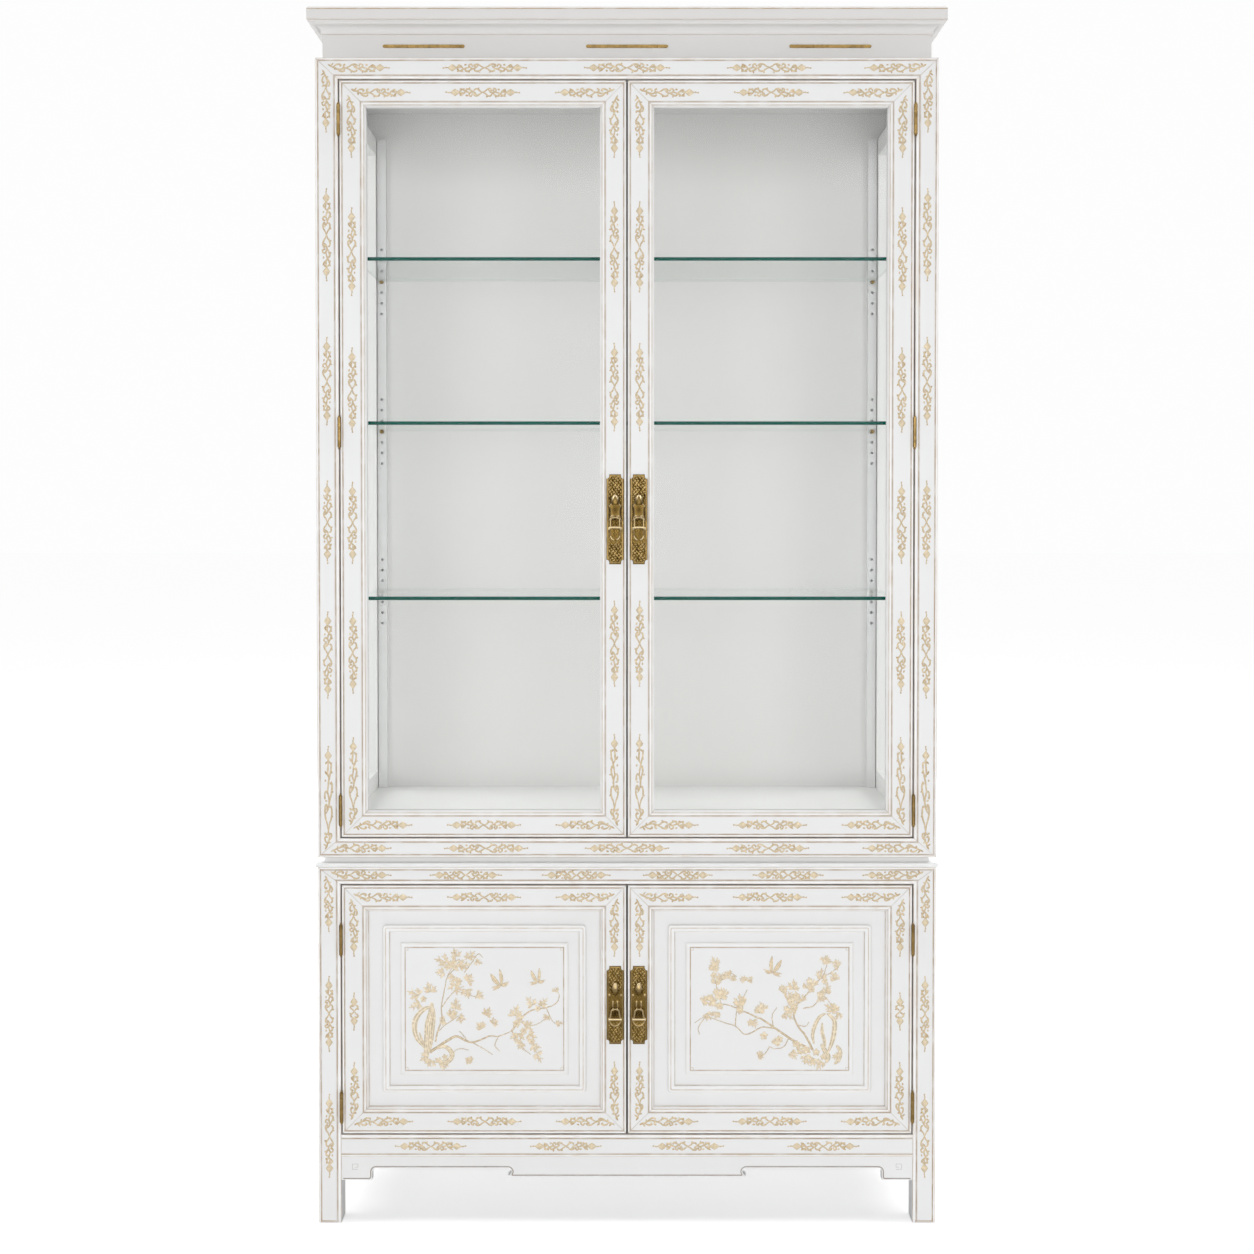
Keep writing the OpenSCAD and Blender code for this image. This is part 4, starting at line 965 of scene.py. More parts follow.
@dataclass(frozen=True)
class Vine:
    """One gilt ornament: scrolls with leaves, and a lozenge bud at one or both ends."""

    length: float
    both: bool
    seed: int
    bud: float = 15.0
    bud_half: float = 6.0
    spread: float = 0.74
    tip: float = 10.0
    span: float = 48.0
    short_span: float = 18.0
    start: float = 31.0

    def draw(self, carving: Carving, middle: tuple[float, float], turn: float, outward: int) -> None:
        """Draws it on a carving.

        Args:
            carving: Where it goes.
            middle: X and Z of its middle.
            turn: Its direction in degrees. With one bud, the bud is at that end.
            outward: 1 or -1, so that a slanted start lies along its mitre.
        """
        rng = np.random.default_rng(self.seed)
        half = self.length / 2
        origin = 0.0 if self.both else self.start - half
        room = half - self.tip - self.bud - origin + 1.5
        sprig, span = (KNOT, self.short_span) if room < self.span / 2 else (SCROLL, self.span)
        other = (-1, 1 if self.seed % 2 else -1)
        for way in ((1, 1), other) if self.both else ((1, 1),):
            place = (middle, turn, np.array(way) * [1, outward])
            self.sprig(carving, sprig, place, origin, room / span, rng)
            self.head(carving, place, half)
        if not self.both:
            self.sprig(carving, START, (middle, turn, np.array([1, outward])), origin, 1.0, rng)

    def put(self, points: np.ndarray, place: tuple) -> np.ndarray:
        """Mirrors, turns and moves drawn points to their place: a turn by the angle in XZ.

        Args:
            points: Drawn points along and across the ornament.
            place: Its middle, its direction in degrees and its mirroring.

        Returns:
            The points on the face.
        """
        middle, turn, way = place
        spin = math.radians(turn)
        rotate = np.array([[math.cos(spin), math.sin(spin)], [-math.sin(spin), math.cos(spin)]])
        return points * way @ rotate + np.array(middle)

    def aim(self, angle: np.ndarray, place: tuple) -> np.ndarray:
        """Mirrors and turns drawn directions."""
        return place[1] + place[2][1] * np.where(place[2][0] > 0, angle, 180 - angle)

    def sprig(self, carving: Carving, sprig: Sprig, place: tuple, origin: float, stretch: float,
              rng: np.random.Generator) -> None:
        """Draws strokes that swell in the middle and end in a knob, and their leaves.

        A stroke's half width is a base plus a sine along it, and plus a Gaussian near its end.

        Args:
            carving: Where they go.
            sprig: The drawing.
            place: Middle, direction and mirroring.
            origin: Where the drawing's zero lies along the ornament.
            stretch: Scale along the ornament.
            rng: Gives each stroke its own small shift.
        """
        count = 15
        paths = np.array([smooth_path(stroke, count) for stroke in sprig.strokes]) * [stretch, self.spread]
        paths = paths + [origin, 0] + rng.uniform(-0.55, 0.55, (len(paths), 1, 2))
        t = np.linspace(0, 1, count)
        swell = 0.95 + 0.6 * np.sin(math.pi * t) + 0.8 * np.exp(-((t - 0.97) / 0.07) ** 2)
        carving.stems(self.put(paths, place), np.broadcast_to(swell, (len(paths), count)), 0.95, 0.55)
        table = np.array(sprig.leaves, float)
        at = table[:, :2] * [stretch, self.spread] + [origin, 0]
        length = table[:, 3] * rng.uniform(0.8, 1.0, len(table))
        width = rng.uniform(2.8, 3.6, len(table))
        bend = table[:, 4] * place[2][0] * place[2][1]
        tone = rng.uniform(0.2, 0.9, len(table))
        carving.leaves(self.put(at, place), self.aim(table[:, 2], place), length, width, 1.0, 0.7, bend, tone)

    def head(self, carving: Carving, place: tuple, half: float) -> None:
        """Draws the bud, a ridge whose half width rises and falls in nearly straight lines, and its tip.

        Args:
            carving: Where they go.
            place: Middle, direction and mirroring.
            half: Half the ornament's length.
        """
        t = np.linspace(0, 1, 9)
        foot = half - self.tip - self.bud
        axis = np.stack([foot + self.bud * t, 0 * t], -1)
        ridge = self.bud_half * (1 - np.abs(2 * t - 1)) ** 0.75 + 0.5
        carving.stems(self.put(axis, place), ridge, 1.5, 0.5, tone=0.2)
        x = np.linspace(half - self.tip - 0.8, half - 1.4, 11)
        bead = np.array([1.5, 1.0, 0.85, 1.15, 1.35, 1.0, 0.8, 0.85, 1.3, 1.5, 0.9])
        carving.stems(self.put(np.stack([x, 0.4 * np.sin(np.linspace(0, 6, 11))], -1), place), bead, 0.9, 0.6)


def gilded_run(carving: Carving, fixed: float, upright: bool, outer: int,
               places: tuple[tuple[float, float, int], ...]) -> None:
    """Draws a row of vines along one member.

    Args:
        carving: Where they go.
        fixed: X of an upright member, or Z of a level one.
        upright: True for a stile.
        outer: 1 or -1, the way along X or Z to the member's outer edge.
        places: Each vine's middle along the member, its length, and 0 for two buds or 1 or -1 for
            one bud at the higher or lower end.
    """
    for number, (middle, length, heads) in enumerate(places):
        at = (fixed, middle) if upright else (middle, fixed)
        turn = (90 if upright else 0) + (180 if heads < 0 else 0)
        outward = outer * (-1 if upright else 1) * (-1 if heads < 0 else 1)
        Vine(length, heads == 0, number * 7 + int(abs(fixed))).draw(carving, at, turn, outward)


@dataclass(frozen=True)
class Branches:
    """The carved scene on a lower door: a pierced rock with flowering boughs and small birds.

    Places are in mm from the tablet's fine line, to the right of its left edge or, mirrored, to
    the left of its right edge, and up from its bottom.
    """

    boughs: tuple
    sprays: tuple
    flowers: tuple
    birds: tuple
    strands: tuple
    mirrored: bool = False

    def draw(self, carving: Carving, corner: tuple[float, float], seed: int) -> None:
        """Draws the scene.

        Args:
            carving: Where it goes.
            corner: X and Z of the corner that the places are measured from.
            seed: Seeds the small differences between leaves.
        """
        rng = np.random.default_rng(seed)
        sign = -1.0 if self.mirrored else 1.0

        def put(points: np.ndarray) -> np.ndarray:
            """Moves drawn points to their place on the door."""
            return np.asarray(points, float) * [sign, 1] + np.array(corner)

        def aim(angle: np.ndarray) -> np.ndarray:
            """Turns a drawn direction over with the drawing."""
            return 180 - np.asarray(angle, float) if self.mirrored else np.asarray(angle, float)

        # The rock's strands: fluted ridges whose half width is the root of a sine along them.
        for width, rise, flutes, points in self.strands:
            count = 34
            path = put(smooth_path(points, count))
            swell = np.sin(np.linspace(0.12, math.pi - 0.12, count)) ** 0.5
            carving.stems(path, width * swell, rise, 0.3, flutes, 0.1)
        # The boughs: uneven ridges that get thinner in a straight line to their ends.
        for thick, points in self.boughs:
            path = put(smooth_path(points, 30))
            path[1:-1] += rng.normal(0, 0.22, (28, 2))
            carving.stems(path, np.linspace(thick, max(0.6, thick * 0.35), 30), 0.8, 0.9)
        # The sprays: five leaves in a fan, with two barbs on each.
        for x, z, size, turn in self.sprays:
            lobes = np.array([-78, -40, 0, 38, 76]) + rng.uniform(-9, 9, 5)
            length = size * np.array([0.75, 1.05, 1.35, 1.0, 0.8]) * rng.uniform(0.8, 1.15, 5)
            at = put(np.repeat([[x, z]], 5, 0))
            carving.leaves(at, aim(turn + lobes), length, size * 0.31, 1.1, 0.85,
                           0.12 * np.sign(lobes), rng.uniform(0, 0.5, 5))
            angle = np.radians(turn + lobes)
            way = np.stack([np.cos(angle), np.sin(angle)], -1)
            barb = put(np.array([x, z]) + way * length[:, None] * 0.45)
            for lean in (42, -42):
                carving.leaves(barb, aim(turn + lobes + lean), length * 0.42, size * 0.15, 0.9, 0.8, 0, 0.3)
        # The flowers: five petals round a raised heart.
        for x, z, size, turn in self.flowers:
            petals = turn + np.arange(5) * 72 + rng.uniform(-6, 6, 5)
            at = put(np.repeat([[x, z]], 5, 0))
            carving.leaves(at, aim(petals), size, size * 0.72, 1.0, 0.55, 0, rng.uniform(0, 0.35, 5))
            heart = size * 0.38
            carving.leaves(put([[x, z]]) - [heart / 2, 0], 0.0, heart, heart, 1.5, 0.5, tone=1.0)
        # The birds: breast, body, two tail feathers, two wings and a beak.
        for x, z, size, turn in self.birds:
            at = put(np.repeat([[x, z]], 7, 0))
            angles = np.array([0, 180, 165, 195, 122, 58, 8])
            lengths = np.array([0.62, 0.6, 0.8, 0.75, 1.3, 1.35, 0.8]) * size
            widths = np.array([0.34, 0.3, 0.14, 0.14, 0.4, 0.34, 0.12]) * size
            carving.leaves(at, aim(turn + angles), lengths, widths, 1.3, 0.75,
                           np.array([0, 0, 0.1, -0.1, -0.22, 0.3, 0]) * sign, 0.5)


# Cabinets


# Lines painted on the crown: the glaze line under the top board's chamfer, and two fainter ones at the
# board's lower edge and the moulding's foot, painted shade at those steps.
CROWN_LINES = ((2027.2, 1.0), (2010.3, 0.3), (1989.6, 0.22))
UP, DOWN, RIGHTWARD, LEFTWARD = (0, 0, 1), (0, 0, -1), (1, 0, 0), (-1, 0, 0)

# Rows of vines. Each vine has its middle along the member, its length, and 0 for two buds or
# 1 or -1 for one bud at the higher or lower end.
UPPER_TOP_VINES = ((-445, 105, 1), (-236, 143, 0), (0, 146, 0), (236, 143, 0), (445, 105, -1))
UPPER_FOOT_VINES = ((-445, 104, 1), (-236, 144, 0), (0, 144, 0), (236, 141, 0), (445, 104, -1))
UPPER_POST_VINES = (
    (1877, 106, -1), (1656, 157, 0), (1413, 150, 0), (1178, 142, 0), (956, 149, 0), (717, 176, 1),
)
LEG_VINES = ((538, 97, -1), (353, 131, 0), (147, 145, 0))
LOWER_TOP_VINES = (
    (-445, 104, 1), (-270, 124, 0), (-85, 118, 0), (85, 120, 0), (270, 122, 0), (445, 104, -1),
)
LOWER_FOOT_VINES = ((-330, 123, 0), (-103, 123, 0), (103, 123, 0), (330, 124, 0))
HINGE_STILE_VINES = {
    Tier.UPPER: (
        (1835, 106, -1), (1628, 150, 0), (1398, 145, 0), (1177, 140, 0), (960, 140, 0), (745, 150, 1),
    ),
    Tier.LOWER: ((498, 100, -1), (357, 67, 0), (223, 100, 1)),
}
MEETING_STILE_VINES = {
    Tier.UPPER: ((1835, 106, -1), (1636, 154, 0), (1403, 150, 0), (975, 147, 0), (747, 156, 1)),
    Tier.LOWER: ((498, 100, -1), (223, 102, 1)),
}


@dataclass
class Workshop:
    """The finishes, made once for all the pieces."""

    white: bpy.types.Material
    shade: bpy.types.Material
    crown: bpy.types.Material
    lining: bpy.types.Material
    gilt: bpy.types.Material
    relief: bpy.types.Material
    brass: bpy.types.Material
    rubbed: bpy.types.Material
    steel: bpy.types.Material
    pane: bpy.types.Material
    side_pane: bpy.types.Material
    shelf: bpy.types.Material

    @classmethod
    def open(cls) -> "Workshop":
        """Mixes every finish.

        Returns:
            The workshop with its finishes.
        """
        cream = Gilding("cream_gilding", pale=(0.93, 0.84, 0.67, 1), warm=(0.74, 0.58, 0.36, 1),
                        deep=(0.17, 0.1, 0.035, 1))
        rubbed = Brass("rubbed_brass", bright=(0.27, 0.18, 0.067, 1), dark=(0.055, 0.033, 0.01, 1))
        return cls(
            white=Lacquer("white_lacquer").material(),
            shade=Lacquer("shade_lacquer", paint=(0.825, 0.822, 0.815, 1)).material(),
            # Painted shade: the crown, its moulding and the frieze take a darker copy of the lacquer for the
            # shade of the crown's overhang and the dimmer light at the top.
            crown=Lacquer("crown_shaded_lacquer", paint=(0.71, 0.70, 0.69, 1), painted_z=CROWN_LINES).material(),
            # Painted light: the inner floor and the side glazing frames take a lighter copy of the lacquer,
            # in place of light that doesn't reach them.
            lining=Lacquer("lining_lacquer", paint=(0.95, 0.948, 0.94, 1)).material(),
            gilt=Gilding("champagne_gilding").material(),
            relief=cream.material(),
            brass=Brass("antique_brass").material(),
            rubbed=rubbed.material(),
            steel=Steel("catch_steel").material(),
            pane=Glass("pane_glass").material(),
            side_pane=Glass("side_glass", tint=(0.95, 0.96, 0.956, 1)).material(),
            shelf=Glass("shelf_glass", tint=(0.984, 0.991, 0.988, 1), bend=1.12, green_edges=True).material(),
        )


@dataclass
class FaceFrames:
    """The moulded frames round the door openings, with their gilt vines."""

    shop: Workshop
    moulding: Moulding = field(default_factory=Moulding)
    post_w: float = 38.0
    upper_top_w: float = 35.5
    upper_foot_w: float = 32.2
    lower_top_w: float = 28.4
    lip_gap: float = 2.0
    vine_x: float = 500.0
    upper_top_z: float = 1932.4
    upper_foot_z: float = 631.8
    lower_top_z: float = 586.8
    lower_foot_z: float = 129.2

    def build(self) -> None:
        """Builds both cabinets' frames and their gilding."""
        self.upper()
        self.lower()
        self.gild()

    def upper(self) -> None:
        """Four mitred members, and the lip and board that stand behind the rails."""
        low, high = corners_of("upper_front_stile_left")
        right = corners_of("upper_front_stile_right")[1][0]
        rails = {name: corners_of(f"upper_front_{name}_rail") for name in ("top", "bottom")}
        section, patch, y = self.moulding.face, Patch(), low[1]
        post, top, foot = section(self.post_w), section(self.upper_top_w), section(self.upper_foot_w)
        width, height = right - low[0], high[2] - low[2]
        post_cuts, rail_cuts = (self.upper_foot_w, self.upper_top_w), (self.post_w,) * 2
        member(patch, (low[0], y, low[2]), UP, RIGHTWARD, height, post, post_cuts)
        member(patch, (right, y, low[2]), UP, LEFTWARD, height, post, post_cuts)
        member(patch, (low[0], y, high[2]), RIGHTWARD, DOWN, width, top, rail_cuts)
        member(patch, (low[0], y, low[2]), RIGHTWARD, UP, width, foot, rail_cuts)
        inner, back = right - self.post_w, y + self.moulding.post_d
        front = y + self.moulding.door_t + self.lip_gap
        block(patch, (-inner, front, rails["top"][0][2]), (inner, back, high[2] - self.upper_top_w))
        block(patch, (-inner, front, low[2] + self.upper_foot_w), (inner, back, rails["bottom"][1][2]))
        patch.piece("upper_face_frame", "case", "white_lacquer", self.shop.white, (
            "upper_front_stile_left", "upper_front_stile_right", "upper_front_top_rail",
            "upper_front_bottom_rail"), closed=True)

    def lower(self) -> None:
        """Two legs that run to the floor, a mitred top rail and a bottom rail between the legs."""
        low, high = corners_of("leg_front_left")
        right = corners_of("leg_front_right")[1][0]
        bottom = corners_of("lower_front_bottom_rail")
        lip = corners_of("lower_front_top_rail")[0][2]
        section, y, rail_w = self.moulding.face, low[1], self.lower_top_w
        width, height, patch = right - low[0], high[2], Patch()
        post, top, foot = section(self.post_w), section(rail_w), section(bottom[1][2] - bottom[0][2])
        for x, across in ((low[0], RIGHTWARD), (right, LEFTWARD)):
            member(patch, (x, y, 0.0), UP, across, height, post, (0.0, rail_w), True)
        member(patch, (low[0], y, height), RIGHTWARD, DOWN, width, top, (self.post_w,) * 2)
        inner, back = right - self.post_w, y + self.moulding.post_d
        member(patch, (-inner, y, bottom[0][2]), RIGHTWARD, UP, 2 * inner, foot, (0.0, 0.0))
        front = y + self.moulding.door_t + self.lip_gap
        block(patch, (-inner, front, lip), (inner, back, height - rail_w))
        patch.piece("lower_face_frame", "case", "white_lacquer", self.shop.white, (
            "leg_front_left", "leg_front_right", "lower_front_top_rail",
            "lower_front_bottom_rail"), closed=True)

    def gild(self) -> None:
        """The vines along every member of both frames."""
        face = corners_of("upper_front_stile_left")[0][1] + self.moulding.band_drop
        upper, lower = Carving(face), Carving(face)
        gilded_run(upper, self.upper_top_z, False, 1, UPPER_TOP_VINES)
        gilded_run(upper, self.upper_foot_z, False, -1, UPPER_FOOT_VINES)
        for side in Side:
            gilded_run(upper, side.value * self.vine_x, True, side.value, UPPER_POST_VINES)
            gilded_run(lower, side.value * self.vine_x, True, side.value, LEG_VINES)
        gilded_run(lower, self.lower_top_z, False, 1, LOWER_TOP_VINES)
        gilded_run(lower, self.lower_foot_z, False, -1, LOWER_FOOT_VINES)
        upper.patch.piece("upper_frame_vines", "case", "antique_brass", self.shop.gilt, crease=60)
        lower.patch.piece("lower_frame_vines", "case", "antique_brass", self.shop.gilt, crease=60)


@dataclass
class Apron:
    """The shaped apron's painted line, which follows its lower edge a little way in."""

    shop: Workshop
    inset: float = 2.4
    round_r: float = 6.0
    middle_half: float = 194.0
    end_len: float = 51.3
    bite_drop: float = 19.8
    middle_drop: float = 14.3
    end_r: float = 3.0
    end_gap: float = 3.0
    key_size: float = 9.0
    key_in: float = 23.0
    key_up: float = 20.0

    def build(self) -> None:
        """Draws the line, straight runs joined by arcs, and the small key on each corner block."""
        low, high = corners_of("front_apron")
        half, top, foot = high[0], high[2], low[2]
        bite = top - self.bite_drop - self.round_r
        middle = top - self.bite_drop - self.middle_drop + self.inset
        r, x0 = self.round_r + self.inset, self.middle_half + self.round_r
        x1 = half - self.end_len - self.round_r
        rise, fall = np.radians(np.linspace(222, 90, 9)), np.radians(np.linspace(90, 0, 7))
        end_x, end_z, end_r = x1 + r, foot + self.inset, self.end_r
        corner = np.radians(np.linspace(180, 270, 5))
        straight = np.array([[0, middle], [x0 + r * math.cos(rise[0]), middle]])
        path = np.stack([x0 + r * np.cos(rise), bite + r * np.sin(rise)], -1).tolist()
        path += np.stack([x1 + r * np.cos(fall), bite + r * np.sin(fall)], -1).tolist()
        path += np.stack([end_x + end_r + end_r * np.cos(corner),
                          end_z + end_r + end_r * np.sin(corner)], -1).tolist()
        path = np.array([*path, [half - self.end_gap, end_z]])
        carving = Carving(low[1])
        steps = np.linspace(0, 1, 7)[:, None]
        size = self.key_size
        hook = np.array([[0, 0], [size, 0], [size, size], [0, size], [0, 3.5], [5, 3.5]])
        for sign in (1, -1):
            for stroke in (straight, path):
                carving.stems((stroke * [sign, 1])[::sign], 1.15, 0.14, 2.0)
            key = (hook - size / 2) * [sign, 1] + [sign * (half - self.key_in), end_z + self.key_up]
            key = np.concatenate([key[i] + (key[i + 1] - key[i]) * steps for i in range(5)])
            carving.stems(key, 0.4, 0.1, 0.45)
        carving.patch.piece("apron_line", "case", "white_lacquer", self.shop.white, crease=60)


@dataclass
class DoorPart:
    """What belongs to one of the four doors."""

    shop: Workshop
    tier: Tier
    side: Side

    @property
    def name(self) -> str:
        """The door's name as the frame spells it."""
        return f"{self.tier.value}_{self.side.word}"


@dataclass
class Door(DoorPart):
    """One door: its mitred frame, its panel and the gilding on it."""

    moulding: Moulding = field(default_factory=Moulding)
    shade_strip_gap: float = 0.15
    shade_strip_lap: float = 2.0
    shade_strip_in: float = 3.0
    shade_strip_y: tuple[float, float] = (2.6, 4.6)
    vine_in: float = 20.0
    vine_apart: float = 169.0
    panel_drop: float = 8.0
    shoulder: float = 2.1
    ring_rise: float = 4.5
    tablet_in: float = 62.0
    tablet_rise: float = 3.5

    def build(self) -> None:
        """Builds the door's pieces."""
        self.frame()
        self.gild()
        if self.tier is Tier.LOWER:
            self.panel()
            self.carve()

    def frame(self) -> None:
        """Four mitred members round the opening, and a thin strip behind the gap where the doors meet,
        painted near black as the gap's shade.
        """
        low, high = corners_of(f"{self.name}_door_frame")
        section = self.moulding.door(self.tier is Tier.UPPER)
        cuts, patch = (self.moulding.member,) * 2, Patch()
        width, height, y = high[0] - low[0], high[2] - low[2], low[1]
        left = self.side is Side.LEFT
        member(patch, (low[0], y, low[2]), UP, RIGHTWARD, height, section, cuts, meets=not left)
        member(patch, (high[0], y, low[2]), UP, LEFTWARD, height, section, cuts, meets=left)
        member(patch, (low[0], y, high[2]), RIGHTWARD, DOWN, width, section, cuts)
        member(patch, (low[0], y, low[2]), RIGHTWARD, UP, width, section, cuts)
        # The strip behind the gap between the doors: painted shade, near black through its tone.
        meet, way = (high[0], 1) if left else (low[0], -1)
        edges = sorted((meet - way * self.shade_strip_lap, -way * self.shade_strip_gap))
        front, back = y + self.shade_strip_y[0], y + self.shade_strip_y[1]
        block(patch, (edges[0], front, low[2] + self.shade_strip_in), (edges[1], back, high[2] - self.shade_strip_in),
              0.1, tone=1.0)
        patch.piece(f"{self.name}_moulded_frame", f"{self.name}_door", "white_lacquer", self.shop.white,
                    (f"{self.name}_door_frame",), closed=True)

    def gild(self) -> None:
        """The vines on the four members; those on the meeting stile leave room for the plate."""
        low, high = corners_of(f"{self.name}_door_frame")
        carving = Carving(low[1] + self.moulding.band_drop)
        middle, way = (low[0] + high[0]) / 2, self.side.value
        level = ((middle - self.vine_apart, 101, 1), (middle, 127, 0), (middle + self.vine_apart, 101, -1))
        gilded_run(carving, high[2] - self.vine_in, False, 1, level)
        gilded_run(carving, low[2] + self.vine_in, False, -1, level)
        left, right = low[0] + self.vine_in, high[0] - self.vine_in
        hinged, meeting = (left, right) if self.side is Side.LEFT else (right, left)
        gilded_run(carving, hinged, True, way, HINGE_STILE_VINES[self.tier])
        gilded_run(carving, meeting, True, -way, MEETING_STILE_VINES[self.tier])
        carving.patch.piece(f"{self.name}_door_vines", f"{self.name}_door", "antique_brass",
                            self.shop.gilt, crease=60)

    def panel(self) -> None:
        """A raised ring with rounded corners round a raised tablet with a fine painted line.

        The ring's two shoulders are quarter circles. Each row says how far in from the frame its
        loop lies, its corners' radius, its height over the ground, and its line and wear.
        """
        low, high = corners_of(f"{self.name}_door_frame")
        m, back = self.moulding.member, corners_of(f"{self.name}_door_panel")[1][1]
        face = low[1] + self.panel_drop
        middle = ((low[0] + high[0]) / 2, (low[2] + high[2]) / 2)
        half = ((high[0] - low[0]) / 2 - m, (high[2] - low[2]) / 2 - m)
        turn = np.linspace(0, math.pi / 2, 5)
        round_off, rise, tablet = self.shoulder, self.ring_rise, self.tablet_rise
        ring = [[24 + round_off * (1 - math.cos(t)), 5.0 - round_off * (1 - math.cos(t)),
                 rise - round_off * (1 - math.sin(t)), 0.0, math.sin(t) * 0.35] for t in turn]
        fall = [[35 - round_off * (1 - math.sin(t)), 1.4, rise - round_off * (1 - math.cos(t)), 0.0,
                 math.cos(t) * 0.35] for t in turn]
        loops = [
            # The ground, from the panel's back edge to the ring.
            [-6, 0.1, face - back, 0, 0], [-6, 0.1, 0, 0, 0], [-0.2, 0.3, 0, 0.9, 0],
            [1.0, 0.5, 0, 0.15, 0], [1.8, 0.5, 0, 0, 0], [22.6, 6.0, 0, 0, 0], [23.6, 5.6, 0, 0.2, 0],
            # The ring, with its glazed line.
            [24, 5.2, 0, 0.35, 0], [24, 5.2, 1.6, 0.1, 0.2], *ring, [27.6, 2.8, rise, 0, 0.3],
            [28.2, 2.7, rise, 0.7, 0.6], [29.2, 2.6, rise, 0.7, 0.6], [29.8, 2.4, rise, 0, 0.2],
            [31, 2.0, rise, 0, 0.15], *fall, [35, 1.4, 0.6, 0.8, 0], [35, 1.4, 0, 0.9, 0],
            # The field between the ring and the tablet.
            [35.7, 1.2, 0, 0.6, 0], [36.4, 1.2, 0, 0, 0], [53, 1.0, 0, 0, 0], [53.7, 1.0, 0, 0.3, 0],
            # The tablet, with its fine sunk line.
            [54, 1.0, 0, 0.4, 0], [54, 1.0, 1.3, 0.1, 0.2], [56.6, 0.8, 3.2, 0, 0.5],
            [57.6, 0.8, tablet, 0, 0.3], [60.3, 0.8, tablet, 0, 0], [60.8, 0.8, tablet, 1, 0],
            [61.0, 0.8, tablet - 0.4, 1, 0], [61.9, 0.7, tablet - 0.4, 1, 0],
            [62.1, 0.7, tablet, 1, 0], [62.6, 0.7, tablet, 0, 0],
        ]
        table = np.array(loops, float)
        table[:, 2] = face - table[:, 2]
        patch = Patch()
        nest(patch, middle, half, table)
        patch.piece(f"{self.name}_raised_panel", f"{self.name}_door", "white_lacquer", self.shop.white,
                    (f"{self.name}_door_panel",), closed=True, crease=32)

    def carve(self) -> None:
        """The flowering boughs on the tablet, and a small square in each corner of its line."""
        low, high = corners_of(f"{self.name}_door_frame")
        reach = self.moulding.member + self.tablet_in
        left, right, foot, top = low[0] + reach, high[0] - reach, low[2] + reach, high[2] - reach
        carving = Carving(low[1] + (self.panel_drop - self.tablet_rise), 0.9)
        scene, corner = (LEFT_SCENE, left) if self.side is Side.LEFT else (RIGHT_SCENE, right)
        scene.draw(carving, (corner, foot), 11 if self.side is Side.LEFT else 12)
        square = np.array([[0, 4.2], [4.2, 4.2], [4.2, 0], [4.2, 2], [4.2, 4.2]])
        for x, sx in ((left, 1), (right, -1)):
            for z, sz in ((foot, 1), (top, -1)):
                drawn = square * [sx, sz] + [x, z]
                carving.stems(drawn if sx * sz < 0 else drawn[::-1], 0.4, 0.15, 1.0)
        carving.patch.piece(f"{self.name}_door_carving", f"{self.name}_door", "antique_brass",
                            self.shop.relief, crease=60)


